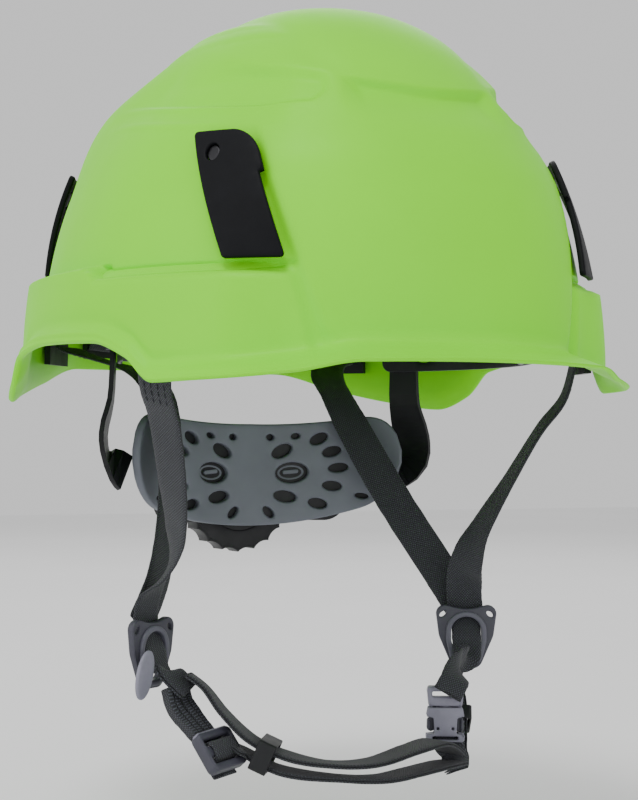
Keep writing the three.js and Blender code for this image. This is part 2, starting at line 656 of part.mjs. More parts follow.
// The rear straps pass over the nape pad's top edge and hang in front of it.
function rearStrapLeft() {
  return strip([
    { at: domePoint(REAR_ANCHOR_ANGLE * DEGREE, 14, -2), facing: webFace(0.6, 0.8, 0) },
    { at: V(58, 98, 9), facing: webFace(0.3, 0.5, -0.8) },
    { at: V(42, 70, 1), facing: webFace(0.1, 0.3, -0.95) },
    { at: V(38.5, 56, -6), facing: webFace(0.1, 0.6, -0.8) },
    { at: V(40, 46, -18), facing: webFace(0.3, 0.85, -0.4) },
    { at: V(52, 30, -50), facing: webFace(0.5, 0.85, -0.1) },
    { at: V(67, 14, -82), facing: webFace(0.5, 0.85, 0) },
    { at: besideAdjuster(1, -5.6, 8), facing: webFace(0.48, 0.88, 0) },
  ], WEB_WIDTH, WEB_THICKNESS, 28);
}

function rearStrapRight() {
  return strip([
    { at: domePoint(-REAR_ANCHOR_ANGLE * DEGREE, 14, -2), facing: webFace(-0.6, 0.8, 0) },
    { at: V(-60, 96, 9), facing: webFace(-0.3, 0.5, -0.8) },
    { at: V(-51, 66, 2), facing: webFace(-0.1, 0.3, -0.95) },
    { at: V(-49.5, 52, -5), facing: webFace(-0.1, 0.6, -0.8) },
    { at: V(-49.5, 41, -18), facing: webFace(-0.3, 0.85, -0.4) },
    { at: V(-53.5, 28, -50), facing: webFace(-0.5, 0.85, -0.1) },
    { at: V(-63.5, 15, -80), facing: webFace(-0.5, 0.85, 0) },
    { at: besideAdjuster(-1, -5.6, 8), facing: webFace(-0.48, 0.88, 0) },
  ], WEB_WIDTH, WEB_THICKNESS, 28);
}

// Chin webbing on the wearer's left: from the adjuster's arch down to the buckle's plug.
function chinWebLeft() {
  return strip([
    { at: besideAdjuster(1, 3.1, 1), facing: viewSide(1) },
    { at: besideAdjuster(1, 3.7, -8), facing: viewSide(1) },
    { at: V(58.5, -14, -116.5), facing: webFace(-0.4, -0.85, -0.2) },
    { at: V(48.2, -26.4, -121.5), facing: webFace(-0.45, -0.85, 0) },
    { at: V(44.2, -27, -127), facing: viewSide(1) },
  ], 12.5, WEB_THICKNESS, 12);
}

function tailLeft() {
  const edgeOn = webFace(0.88, -0.48, 0);
  return strip([
    { at: V(69.5, 2, -126), facing: edgeOn },
    { at: TAIL_KEEPER.clone().addScaledVector(TAIL_AXIS, 4.5), facing: edgeOn },
    { at: TAIL_KEEPER.clone().addScaledVector(TAIL_AXIS, -4.5), facing: edgeOn },
    { at: V(60.6, -14.5, -150), facing: edgeOn },
    { at: V(55, -19.5, -157.5), facing: webFace(0.8, -0.45, -0.4) },
  ], 12, WEB_THICKNESS, 12);
}

// Chin webbing on the wearer's right: a folded block under the adjuster, then a doubled tail.
function chinFoldRight() {
  return strip([
    { at: besideAdjuster(-1, 3.6, 2), facing: viewSide(-1) },
    { at: besideAdjuster(-1, 3.9, -7), facing: viewSide(-1) },
    { at: V(-66.5, -8, -115.5), facing: webFace(0.5, -0.85, 0.2) },
    { at: V(-60.5, -12, -121), facing: webFace(0.5, -0.75, 0.4) },
  ], 13, 3, 8);
}

function tailRight() {
  return strip([
    { at: V(-65.5, -9.5, -125), facing: webFace(0.3, -0.9, 0.2) },
    { at: V(-62.5, -13.5, -131), facing: webFace(0.35, -0.85, 0.3) },
    { at: V(-59.5, -17.5, -136), facing: webFace(0.4, -0.8, 0.4) },
  ], 14, 4, 6);
}

// Both chin strands run side by side through the keeper.
function keeperPoint(along, above) {
  return KEEPER.clone().addScaledVector(KEEPER_AXIS, along).addScaledVector(KEEPER_UP, above);
}

function chinWebUpper() {
  return strip([
    { at: V(-56.5, -14.5, -120), facing: webFace(0.6, -0.3, 0.75) },
    { at: V(-51, -20, -129), facing: webFace(0.5, -0.3, 0.8) },
    { at: keeperPoint(-7, 3), facing: KEEPER_UP },
    { at: keeperPoint(7, 3), facing: KEEPER_UP },
    { at: V(-16.7, -41, -147.6), facing: webFace(0.1, 0, 1) },
    { at: V(0, -43, -148), facing: webFace(0, 0, 1) },
    { at: V(19, -40.5, -144.8), facing: webFace(0, 0, 1) },
    { at: V(36, -33, -144.4), facing: webFace(0.1, 0, 1) },
    { at: V(47.5, -25.5, -150), facing: webFace(0.3, 0.1, 1) },
  ], 13, 1.8, 28);
}

function chinWebLower() {
  return strip([
    { at: keeperPoint(-4.4, -3), facing: KEEPER_UP },
    { at: keeperPoint(7, -3), facing: KEEPER_UP },
    { at: V(-12.4, -41.5, -153.1), facing: webFace(0.1, 0, 1) },
    { at: V(4.5, -42.5, -154.5), facing: webFace(0, 0, 1) },
    { at: V(20.4, -38.5, -154), facing: webFace(0, 0, 1) },
    { at: V(38.5, -31, -153.8), facing: webFace(0, 0, 1) },
    { at: V(49, -25, -154.5), facing: webFace(0.1, 0.1, 1) },
  ], 13, 1.8, 20);
}

// Ladder lock that the chin webbing is threaded through: three bars and two slots.
function ladderLock() {
  const slot = (x) => new THREE.BoxGeometry(3, 14.5, 12).translate(x, 0, 0);
  return cut(plate(roundedRectangle(16, 18, 2), 5.5), slot(-3.6), slot(3.6));
}

// Geometry turned so that its x, y and z follow the given axes, then moved.
function oriented(geometry, zAxis, yHint, position) {
  const x = yHint.clone().cross(zAxis).normalize();
  const y = zAxis.clone().cross(x);
  const matrix = new THREE.Matrix4().makeBasis(x, y, zAxis.clone()).setPosition(position);
  return geometry.applyMatrix4(matrix);
}

function plastic(color, roughness = 0.5) {
  return new THREE.MeshStandardMaterial({ color, roughness, metalness: 0 });
}

const finishes = {
  shell: plastic(0xa1d54d, 0.35),
  clip: plastic(0x26282d, 0.4),
  blackPlastic: plastic(0x1c1d21, 0.45),
  greyPlastic: plastic(0x59596a, 0.5),
  webbing: plastic(0x35373d, 0.85),
  pad: plastic(0x4a5059, 0.9),
  foam: plastic(0x2b2d31, 0.95),
  steel: new THREE.MeshStandardMaterial({ color: 0x8a8d92, roughness: 0.35, metalness: 1 }),
};

const helmet = new THREE.Group();

function place(name, geometry, finish, parent = helmet) {
  const mesh = new THREE.Mesh(geometry, finishes[finish].clone());
  mesh.name = name;
  parent.add(mesh);
  return mesh;
}

function turnedGroup(position, turn) {
  const group = new THREE.Group();
  group.position.copy(position);
  group.rotation.z = turn;
  helmet.add(group);
  return group;
}

const sides = { left: 1, right: -1 };

place('shell', shell(), 'shell');

for (const [sideName, side] of Object.entries(sides)) {
  for (const rear of [false, true]) {
    const where = `${rear ? 'rear' : 'front'}_${sideName}`;
    const rivetAngle = side * (rear ? 180 - RIVET_ANGLE : RIVET_ANGLE) * DEGREE;
    const rivetBase = CLIP_HEAD_GAP + CLIP_THICKNESS + 0.6;
    place(`lamp_clip_${where}`, lampClip(side, rear), 'clip');
    place(`clip_rivet_${where}`, studOnDome(rivetAngle, RIVET_LEVEL, rivetBase, RIVET_DEPTH, RIVET_RADIUS), 'steel');
  }
  for (const [keyName, angle] of Object.entries(KEY_ANGLES)) {
    place(`suspension_key_${keyName}_${sideName}`, suspensionKey(side * angle), 'blackPlastic');
  }
}

const { front, middle, rear } = KEY_ANGLES;
const strapRuns = {
  front_left: [front, -rear], middle: [middle, -middle], rear_left: [rear, -front],
};
Object.entries(strapRuns).forEach(([run, [from, to]], i) => {
  const crown = CRADLE_CROWN_LEVEL + CRADLE_STRAP_SPACING * i;
  place(`cradle_strap_${run}`, cradleStrap(from * DEGREE, to * DEGREE, crown), 'webbing');
});
const crownPad = disc(CROWN_PAD_RADIUS, CROWN_PAD_THICKNESS, 24).rotateX(Math.PI / 2);
place('crown_pad', crownPad.translate(0, DOME_CENTRE_Y, CROWN_PAD_LEVEL), 'foam');

const bandLow = HEADBAND_LEVEL - HEADBAND_HEIGHT / 2;
const bandHigh = HEADBAND_LEVEL + HEADBAND_HEIGHT / 2;
place('headband', headbandArc(HEADBAND_END_ANGLE, -1, 2, bandLow, bandHigh, 32, 1), 'blackPlastic');
const browPadFace = -1.4 - BROW_PAD_THICKNESS;
const browPad = headbandArc(BROW_PAD_HALF_ANGLE, browPadFace, BROW_PAD_THICKNESS, bandLow - 1, bandHigh + 1, 20, 1);
place('brow_pad', browPad, 'foam');

for (const [sideName, side] of Object.entries(sides)) {
  const out = V(side * 0.905, 0.426, 0);
  const pivot = V(side * PIVOT.x, PIVOT.y, PIVOT.z);
  place(`nape_arm_${sideName}`, napeArm(side), 'blackPlastic');
  const [headFrom, headTo] = [1.5, 3.1].map((distance) => pivot.clone().addScaledVector(out, distance));
  place(`arm_pivot_${sideName}`, cylinderAlong(headFrom, headTo, PIVOT_RADIUS), 'blackPlastic');
}

const padRadii = [NAPE_RADIUS, NAPE_RADIUS + NAPE_PAD_THICKNESS];
const padAngles = [-NAPE_HALF_ANGLE, NAPE_HALF_ANGLE];
place('nape_pad', napeSlab(padAngles, padRadii, napePadEdge(-1), napePadEdge(1), 28, 2), 'pad');

const screwAngles = [-SCREW_ANGLE, SCREW_ANGLE];
const screwHole = (degrees, radius) => cylinderAlong(
  napePoint(degrees, NAPE_RADIUS, KNOB_LEVEL), napePoint(degrees, NAPE_RADIUS + 20, KNOB_LEVEL), radius,
);
const carrierRadii = [NAPE_RADIUS + 4.3, NAPE_RADIUS + 5.8];
const carrierLow = () => KNOB_LEVEL - CARRIER_HALF_HEIGHT;
const carrierHigh = () => KNOB_LEVEL + CARRIER_HALF_HEIGHT;
const carrier = napeSlab([-COVER_HALF_ANGLE, COVER_HALF_ANGLE], carrierRadii, carrierLow, carrierHigh, 14);
place('nape_carrier', carrier, 'blackPlastic');

const coverRadii = [RACK_RADIUS + 1.4, RACK_RADIUS + 3.6];
const cover = napeSlab([-COVER_HALF_ANGLE, COVER_HALF_ANGLE], coverRadii, carrierLow, carrierHigh, 14);
const shaftHole = disc(3.1, 30, 20).translate(0, NAPE_AXIS_Y + RACK_RADIUS, KNOB_LEVEL);
place('ratchet_cover', cut(cover, shaftHole, ...screwAngles.map((a) => screwHole(a, 1.9))), 'blackPlastic');
screwAngles.forEach((degrees, i) => {
  const [from, to] = [carrierRadii[1] + 0.3, coverRadii[1] + 0.4].map((r) => napePoint(degrees, r, KNOB_LEVEL));
  const head = [coverRadii[1] + 0.3, coverRadii[1] + 1.7].map((r) => napePoint(degrees, r, KNOB_LEVEL));
  const screw = join(cylinderAlong(from, to, 1.4), cylinderAlong(...head, 3));
  place(`cover_screw_${i === 0 ? 'right' : 'left'}`, screw, 'steel');
});

place('rack_left', rack(1), 'blackPlastic');
place('rack_right', rack(-1), 'blackPlastic');
const knobY = NAPE_AXIS_Y + coverRadii[1] + 0.4 + KNOB_DEPTH / 2;
const knobGroup = new THREE.Group();
knobGroup.position.set(0, NAPE_AXIS_Y + RACK_RADIUS, KNOB_LEVEL);
knobGroup.rotation.x = Math.PI / 2;
helmet.add(knobGroup);
place('ratchet_pinion', pinion(), 'blackPlastic', knobGroup);
place('ratchet_knob', knob().rotateX(Math.PI / 2).rotateZ(Math.PI).translate(0, knobY, KNOB_LEVEL), 'blackPlastic');
const screwDisc = disc(3.4, 1.6, 16).translate(0, knobY + KNOB_DEPTH / 2 - 1.5, KNOB_LEVEL);
place('knob_screw', screwDisc, 'steel');

for (const [sideName, side] of Object.entries(sides)) {
  const anchor = (angle, levels) => {
    const edge = (turn) => () => side * (angle + turn * ANCHOR_HALF_ANGLE);
    return domePlate(edge(-1), edge(1), levels, () => ANCHOR_GAP, ANCHOR_THICKNESS, 3, 2);
  };
  place(`front_anchor_${sideName}`, anchor(FRONT_ANCHOR_ANGLE, FRONT_ANCHOR_LEVELS), 'blackPlastic');
  place(`rear_anchor_${sideName}`, anchor(REAR_ANCHOR_ANGLE, REAR_ANCHOR_LEVELS), 'blackPlastic');
  place(`front_strap_${sideName}`, frontStrap(side), 'webbing');
  const frame = turnedGroup(V(side * ADJUSTER.x, ADJUSTER.y, ADJUSTER.z), -side * TWIST * DEGREE);
  place(`side_adjuster_${sideName}`, adjusterFrame().rotateX(Math.PI / 2), 'greyPlastic', frame);
}
place('rear_strap_left', rearStrapLeft(), 'webbing');
place('rear_strap_right', rearStrapRight(), 'webbing');
place('chin_web_left', chinWebLeft(), 'webbing');
place('tail_left', tailLeft(), 'webbing');
place('chin_fold_right', chinFoldRight(), 'webbing');
place('tail_right', tailRight(), 'webbing');
place('chin_web_upper', chinWebUpper(), 'webbing');
place('chin_web_lower', chinWebLower(), 'webbing');

place('chin_keeper', oriented(sleeve(16.6, 12, 7, 1.1), KEEPER_AXIS, KEEPER_UP, KEEPER), 'blackPlastic');
place('ladder_lock', oriented(ladderLock(), LOCK_AXIS, LOCK_ACROSS, LOCK), 'greyPlastic');
const tailSleeve = oriented(sleeve(15, 5.4, 6, 1), TAIL_AXIS, webFace(0.88, -0.48, 0), TAIL_KEEPER);
place('tail_keeper_left', tailSleeve, 'blackPlastic');

const coverGroup = turnedGroup(besideAdjuster(-1, 7, -8.5).add(ADJUSTER_COVER_SHIFT), TWIST * DEGREE);
place('adjuster_cover_right', adjusterCover().rotateX(Math.PI / 2).rotateY(0.3), 'greyPlastic', coverGroup);

const buckle = turnedGroup(BUCKLE, -TWIST * DEGREE);
const buckleParts = {
  buckle_socket: buckleSocket(), buckle_plug: bucklePlug(),
  buckle_pinch_left: bucklePinch(1), buckle_pinch_right: bucklePinch(-1),
};
for (const [name, geometry] of Object.entries(buckleParts)) {
  place(name, geometry.scale(...BUCKLE_SCALE), 'greyPlastic', buckle);
}

export default helmet;
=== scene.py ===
"""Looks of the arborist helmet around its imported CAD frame. Shapes are worked out in millimetres."""

import copy
import json
import math

import bmesh
import bpy
import numpy as np
from mathutils import Matrix, Vector
from mathutils.geometry import delaunay_2d_cdt


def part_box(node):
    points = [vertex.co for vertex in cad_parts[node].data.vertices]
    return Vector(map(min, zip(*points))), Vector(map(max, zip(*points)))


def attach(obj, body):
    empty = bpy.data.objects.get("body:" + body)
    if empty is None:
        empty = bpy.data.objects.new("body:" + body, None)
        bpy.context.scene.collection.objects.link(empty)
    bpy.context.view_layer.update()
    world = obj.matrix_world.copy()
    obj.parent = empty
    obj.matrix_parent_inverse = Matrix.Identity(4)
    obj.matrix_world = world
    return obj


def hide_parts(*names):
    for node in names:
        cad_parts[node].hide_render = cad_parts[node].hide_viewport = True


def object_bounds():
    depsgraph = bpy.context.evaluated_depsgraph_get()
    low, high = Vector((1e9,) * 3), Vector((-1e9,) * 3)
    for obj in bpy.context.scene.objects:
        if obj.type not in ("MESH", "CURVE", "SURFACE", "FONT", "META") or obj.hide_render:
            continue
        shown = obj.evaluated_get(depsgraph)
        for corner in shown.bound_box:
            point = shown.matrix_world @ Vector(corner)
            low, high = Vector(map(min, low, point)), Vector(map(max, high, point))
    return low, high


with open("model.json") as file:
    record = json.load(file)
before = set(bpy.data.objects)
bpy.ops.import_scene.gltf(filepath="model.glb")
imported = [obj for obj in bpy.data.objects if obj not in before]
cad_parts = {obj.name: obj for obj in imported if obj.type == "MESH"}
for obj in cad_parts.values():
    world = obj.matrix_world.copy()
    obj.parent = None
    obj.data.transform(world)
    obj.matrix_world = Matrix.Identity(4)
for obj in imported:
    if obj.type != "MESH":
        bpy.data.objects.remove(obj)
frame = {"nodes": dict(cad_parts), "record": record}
CAD_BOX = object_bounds()

MM = 0.001
DEGREE = math.pi / 180
WELD_DISTANCE = 2e-6
SIDES = ((1, "left"), (-1, "right"))

# Shell formula: the same superellipsoid dome as the CAD part, in millimetres.
HALF_WIDTH, FRONT_REACH, REAR_REACH, HEIGHT = 104.0, 117.5, 137.0, 147.5
CENTRE_Y, LEAN, PLAN_POWER = 7.0, 5.0, 2.08
SIDE_POWER, FRONT_GAIN, REAR_GAIN = 2.06, 0.3, 0.44
SHELL_THICKNESS, CROWN_INSET, RIM_ROUNDING, RIM_BLEND = 3.0, 1.6, 1.1, 14
BAND_OFFSET, BAND_TOP, BAND_HEIGHT = 7.5, 39.0, 4.0
BAND_START, BAND_FROM, BAND_FULL, BAND_STEP = 31.5, 33, 48.0, 2.0
SLOT_FROM, SLOT_TO, SLOT_DROP, LIP_RISE = 33.0, 80.0, 4.5, 11.0
RIM_HEIGHTS = (
    (0, 2), (22, 1.5), (33, -2), (50, -4.5), (60, -5), (66, 3.7), (75, 9.3), (92, 10),
    (104, 6.4), (110, -4.5), (117, -10), (129, -6.5), (141, -1), (155, 6.5), (180, 7),
)
LIP_OFFSETS = ((0, 22), (22, 21), (34, 17.5), (48, 16.5), (60, 10.5), (90, 9.5), (115, 13), (180, 11))
CREASE_HEIGHTS = ((0, 103), (24, 103), (31, 96.2), (42, 95.8), (63, 98.2), (95, 104.2), (180, 110))
RIDGE_EDGE_HEIGHTS = ((0, 102), (14, 103.6), (27, 107), (47, 111), (70, 116), (100, 122), (180, 130))
CROWN_FULLNESS, CROWN_REAR_SINK, REAR_SHOULDER_FULLNESS = 0.8, 4.0, 2.8
LEDGE_DEPTH, LEDGE_EDGE_ANGLES = 3.0, (17, 24)
SCOOP_DEPTH, SCOOP_START, SCOOP_END = 2.4, (25.2, 28.4), (82, 106)
SHELF_DEPTH, SHELF_START = 1.3, (34, 44)
CREASE_LIP, SECOND_CREASE, SECOND_CREASE_DROP, FLANK_DEPTH, STEP_HEIGHT = 0.25, 0.6, 8.4, 0.9, 0.35
PANEL_RISE, PANEL_ANGLE, GROOVE_DEPTH, WINDOW_DEPTH, NOTCH_DEPTH, NOTCH_ANGLE = 2.1, 34.0, 1.1, 1.6, 3.5, 79
LIP_ROLL, LIP_HOLLOW, GROOVE_LEVEL = 0.7, 1.2, 35.6


def smooth(start, end, value):
    t = np.clip((value - start) / (end - start), 0, 1)
    return t * t * (3 - 2 * t)


def signed_power(value, power):
    return np.sign(value) * np.abs(value) ** power


def unit(v):
    v = np.asarray(v, float)
    return v / np.maximum(np.linalg.norm(v, axis=-1, keepdims=True), 1e-9)


def curve_through(pairs):
    """Smooth function through (x, y) pairs that never overshoots them."""
    x, y = (np.array(column, float) for column in zip(*pairs))
    slope = np.diff(y) / np.diff(x)
    tangent = np.zeros(len(x))
    for i in range(1, len(x) - 1):
        if slope[i - 1] * slope[i] > 0:
            tangent[i] = 2 * slope[i - 1] * slope[i] / (slope[i - 1] + slope[i])

    def value(at):
        i = np.clip(np.searchsorted(x, at) - 1, 0, len(x) - 2)
        h = x[i + 1] - x[i]
        t = np.clip((at - x[i]) / h, 0, 1)
        a = 2 * t**3 - 3 * t**2 + 1
        return (
            a * y[i] + (t**3 - 2 * t**2 + t) * h * tangent[i]
            + (1 - a) * y[i + 1] + (t**3 - t**2) * h * tangent[i + 1]
        )

    return value


rim_height = curve_through(RIM_HEIGHTS)
lip_offset = curve_through(LIP_OFFSETS)
crease_height = curve_through(CREASE_HEIGHTS)
ridge_edge_height = curve_through(RIDGE_EDGE_HEIGHTS)


def dome_points(angle, height, offset):
    """Points of the dome at angles from the front, moved out along the surface's normal."""
    s, c = np.sin(angle), np.cos(angle)
    reach = np.where(c > 0, FRONT_REACH, REAR_REACH)
    power = SIDE_POWER + np.where(c > 0, FRONT_GAIN, REAR_GAIN) * c * c
    level = np.clip(height, 0, HEIGHT) / HEIGHT
    spread = np.maximum(1 - level**power, 0) ** (1 / power)
    x = HALF_WIDTH * signed_power(s, 2 / PLAN_POWER) * spread
    y = CENTRE_Y - reach * signed_power(c, 2 / PLAN_POWER) * spread + LEAN * level
    point = np.stack(np.broadcast_arrays(x, y, height), -1).astype(float)
    slopes = x / HALF_WIDTH**2, (y - CENTRE_Y) / reach**2, np.maximum(height, 0) / HEIGHT**2
    return point + unit(np.stack(np.broadcast_arrays(*slopes), -1)) * np.expand_dims(offset, -1)


def dome(degrees, height, offset):
    """One point of the dome, at an angle in degrees."""
    return dome_points(*(np.array(float(value)) for value in (degrees * DEGREE, height, offset)))


def from_front(angle):
    """Degrees between an angle and the front, the same on both sides."""
    return np.abs(np.degrees(np.arctan2(np.sin(angle), np.cos(angle))))


def bell(value, middle, width, power=2):
    """Bell curve; a higher power gives it a flatter top."""
    return np.exp(-((value - middle) / width) ** power)


def crown_fullness(degrees, height):
    """How much fuller than the plain dome the crown and its rear shoulder are."""
    crown = smooth(104, 140, height) * (1 - smooth(141.5, HEIGHT, height))
    crown = (CROWN_FULLNESS - CROWN_REAR_SINK * smooth(90, 130, degrees)) * crown
    shoulder = smooth(90, 125, degrees) * smooth(72, 102, height) * (1 - smooth(103, 128, height))
    return crown + REAR_SHOULDER_FULLNESS * shoulder


def crown_relief(degrees, height, side):
    """Ledge at the ridge's front end, scoops beside it and their creases, above the clips."""
    crease, edge = crease_height(degrees), ridge_edge_height(degrees)
    ledge = -LEDGE_DEPTH * (1 - smooth(*LEDGE_EDGE_ANGLES, degrees)) * smooth(edge - 16, edge - 0.8, height)
    ledge = ledge * (1 - smooth(edge - 0.4, edge + 2.0, height))
    crisp = 1 - smooth(*SCOOP_END, degrees)
    started = crisp * smooth(*SCOOP_START, degrees)
    scoop = -SCOOP_DEPTH * started * smooth(crease - 0.6, crease + 2.6, height)
    shelf = -SHELF_DEPTH * crisp * smooth(*SHELF_START, degrees) * smooth(crease - 10, crease - 2, height)
    soft = 2.0 + 6.0 * smooth(48, 75, degrees)
    scoop = (scoop + shelf) * (1 - smooth(edge - soft, edge + 1 + soft, height))
    lip = CREASE_LIP * started * bell(height, crease - 1.0, 1.0)
    second = SECOND_CREASE * crisp * smooth(48, 58, degrees) * bell(height, crease - SECOND_CREASE_DROP, 1.5)
    flank = -FLANK_DEPTH * bell(side, 37, 6) * smooth(edge, edge + 8, height)
    steps = smooth(126, 127.2, height) + smooth(131.5, 132.7, height) - 2 * smooth(134, 142, height)
    steps = STEP_HEIGHT * smooth(36, 42, side) * steps
    return crown_fullness(degrees, height) + ledge + scoop + lip + second + flank + steps


def lip_flare(degrees, height):
    return np.clip(1 - (height - rim_height(degrees)) / LIP_RISE, 0, 1) ** 2


def wall_relief(degrees, height):
    """Front panel, side band with its accessory slot, and the lip."""
    panel_edge = PANEL_ANGLE + 0.2 * (height - 38)
    panel = PANEL_RISE * (1 - smooth(panel_edge - 1.3, panel_edge + 0.9, degrees))
    panel *= (1 - smooth(70, 94, height)) * smooth(2, 12, height)
    band_edge = BAND_START + 0.14 * (height - 12)
    band = BAND_STEP / BAND_OFFSET * smooth(band_edge - 1.2, band_edge + 1.2, degrees)
    band = band + (1 - BAND_STEP / BAND_OFFSET) * smooth(BAND_FROM, BAND_FULL, degrees)
    in_slot = smooth(SLOT_FROM, SLOT_FROM + 1.5, degrees) * (1 - smooth(SLOT_TO - 3, SLOT_TO, degrees))
    top = BAND_TOP - SLOT_DROP * in_slot
    stand = BAND_OFFSET * band * (1 - smooth(top - BAND_HEIGHT, top, height))
    groove = -GROOVE_DEPTH * in_slot * bell(height, GROOVE_LEVEL, 1.0)
    window = -WINDOW_DEPTH * smooth(35.5, 36.5, degrees) * (1 - smooth(47, 48, degrees))
    window = window * bell(height, 35.8, 1.6, 4)
    notch = -NOTCH_DEPTH * bell(degrees, NOTCH_ANGLE, 1.6, 4) * bell(height, 36.4, 1.7, 4)
    above_rim = height - rim_height(degrees)
    rolled = LIP_ROLL * bell(above_rim, 2.6, 1.1) - LIP_HOLLOW * bell(above_rim, 6.6, 2.2)
    flare = lip_flare(degrees, height)
    return stand * (1 - flare) + lip_offset(degrees) * flare + panel + groove + window + notch + rolled


def outer_surface(angle, height):
    degrees = from_front(angle)
    side = np.abs(dome_points(angle, height, np.zeros_like(angle * height))[..., 0])
    return dome_points(angle, height, wall_relief(degrees, height) + crown_relief(degrees, height, side))


def inner_surface(angle, height):
    degrees = from_front(angle)
    band = smooth(BAND_FROM, BAND_FULL, degrees) * (1 - smooth(BAND_TOP - 8, BAND_TOP, height))
    flare = lip_flare(degrees, height)
    stand = BAND_OFFSET * band * (1 - flare) + lip_offset(degrees) * flare + crown_fullness(degrees, height)
    return dome_points(angle, height, stand - SHELL_THICKNESS - CROWN_INSET * smooth(56, 82, height))


# ---- Mesh helpers ----

def edited(mesh, *operations):
    """Runs bmesh operations on a mesh."""
    work = bmesh.new()
    work.from_mesh(mesh)
    for operation in operations:
        operation(work)
    work.to_mesh(mesh)
    work.free()


def facing_out(work):
    bmesh.ops.recalc_face_normals(work, faces=work.faces)


def new_object(name, points, faces, material):
    mesh = bpy.data.meshes.new(name)
    mesh.from_pydata([tuple(p) for p in points], [], faces)
    mesh.validate()
    piece = bpy.data.objects.new(name, mesh)
    bpy.context.scene.collection.objects.link(piece)
    mesh.materials.append(material)
    edited(mesh, facing_out)
    mesh.polygons.foreach_set("use_smooth", [True] * len(mesh.polygons))
    return piece


def apply_modifiers(piece):
    graph = bpy.context.evaluated_depsgraph_get()
    mesh = bpy.data.meshes.new_from_object(piece.evaluated_get(graph))
    piece.modifiers.clear()
    old = piece.data
    piece.data = mesh
    bpy.data.meshes.remove(old)
    return piece


def add_modifier(piece, kind, **settings):
    modifier = piece.modifiers.new(kind.title(), kind)
    for key, value in settings.items():
        setattr(modifier, key, value)
    return modifier


def finish_piece(piece, replaced=(), body="helmet"):
    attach(piece, body)
    if replaced:
        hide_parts(*replaced)
    return piece


def ring_faces(rings, count):
    """Quads between rings of points, each ring closed."""
    faces = []
    for first in range(0, (rings - 1) * count, count):
        for i in range(count):
            j = (i + 1) % count
            faces.append((first + i, first + j, first + count + j, first + count + i))
    return faces


def catmull(points, steps):
    """Points of a centripetal Catmull-Rom curve, as many steps between each two given points."""
    p = [np.array(q, float) for q in points]
    p = [2 * p[0] - p[1], *p, 2 * p[-1] - p[-2]]
    result = []
    for i in range(1, len(p) - 2):
        knots = [0.0]
        for a, b in zip(p[i - 1:i + 2], p[i:i + 3]):
            knots.append(knots[-1] + max(np.linalg.norm(b - a), 1e-6) ** 0.5)
        last = i == len(p) - 3
        for t in np.linspace(knots[1], knots[2], steps + 1)[: None if last else -1]:
            a = [p[i - 1 + k] * (knots[k + 1] - t) + p[i + k] * (t - knots[k]) for k in range(3)]
            a = [v / (knots[k + 1] - knots[k]) for k, v in enumerate(a)]
            b = [(a[k] * (knots[k + 2] - t) + a[k + 1] * (t - knots[k])) / (knots[k + 2] - knots[k])
                 for k in range(2)]
            result.append((b[0] * (knots[2] - t) + b[1] * (t - knots[1])) / (knots[2] - knots[1]))
    return np.array(result)


# ---- Materials ----

class Shader:
    """A node material with one Principled shader and a few short ways to wire it."""

    def __init__(self, name, colour, roughness, **sockets):
        self.material = bpy.data.materials.new(name)
        self.material.use_nodes = True
        self.tree = self.material.node_tree
        self.nodes, self.links = self.tree.nodes, self.tree.links
        self.shader = self.nodes["Principled BSDF"]
        self.set("Base Color", (*colour, 1))
        self.set("Roughness", roughness)
        for key, value in sockets.items():
            self.set(key.replace("_", " "), value)
        self.coordinates = self.nodes.new("ShaderNodeTexCoord")

    def set(self, socket, value):
        self.shader.inputs[socket].default_value = value

    def node(self, kind, inputs=None, **settings):
        made = self.nodes.new("ShaderNode" + kind)
        for key, value in settings.items():
            setattr(made, key, value)
        for key, value in (inputs or {}).items():
            if isinstance(value, bpy.types.NodeSocket):
                self.links.new(value, made.inputs[key])
            else:
                made.inputs[key].default_value = value
        return made

    def noise(self, scale, detail=3.0, roughness=0.5):
        place = self.coordinates.outputs["Object"]
        inputs = {"Vector": place, "Scale": scale, "Detail": detail, "Roughness": roughness}
        return self.node("TexNoise", inputs).outputs["Fac"]

    def math(self, operation, a, b=0.0):
        return self.node("Math", {0: a, 1: b}, operation=operation).outputs[0]

    def ramp(self, value, *stops):
        made = self.node("ValToRGB", {"Fac": value})
        elements = made.color_ramp.elements
        while len(elements) < len(stops):
            elements.new(0.5)
        for element, (place, colour) in zip(elements, stops):
            element.position = place
            element.color = (*colour, 1) if isinstance(colour, tuple) else (colour, colour, colour, 1)
        return made.outputs["Color"]

    def colour(self, socket):
        self.links.new(socket, self.shader.inputs["Base Color"])

    def shades(self, value, colour, *stops):
        """Ramp through one colour, darker or lighter by a factor at each stop."""
        return self.ramp(value, *((place, tint(colour, factor)) for place, factor in stops))

    def roughness(self, value, low, high):
        made = self.node("MapRange", {"Value": value, "To Min": low, "To Max": high})
        self.links.new(made.outputs[0], self.shader.inputs["Roughness"])

    def bump(self, height, distance, strength=1.0, after=None):
        inputs = {"Height": height, "Distance": distance, "Strength": strength}
        if after:
            inputs["Normal"] = after
        made = self.node("Bump", inputs)
        self.links.new(made.outputs["Normal"], self.shader.inputs["Normal"])
        return made.outputs["Normal"]


def srgb(r, g, b):
    values = (r / 255, g / 255, b / 255)
    return tuple(v / 12.92 if v <= 0.04045 else ((v + 0.055) / 1.055) ** 2.4 for v in values)


def tint(colour, factor):
    return tuple(min(1.0, c * factor) for c in colour)


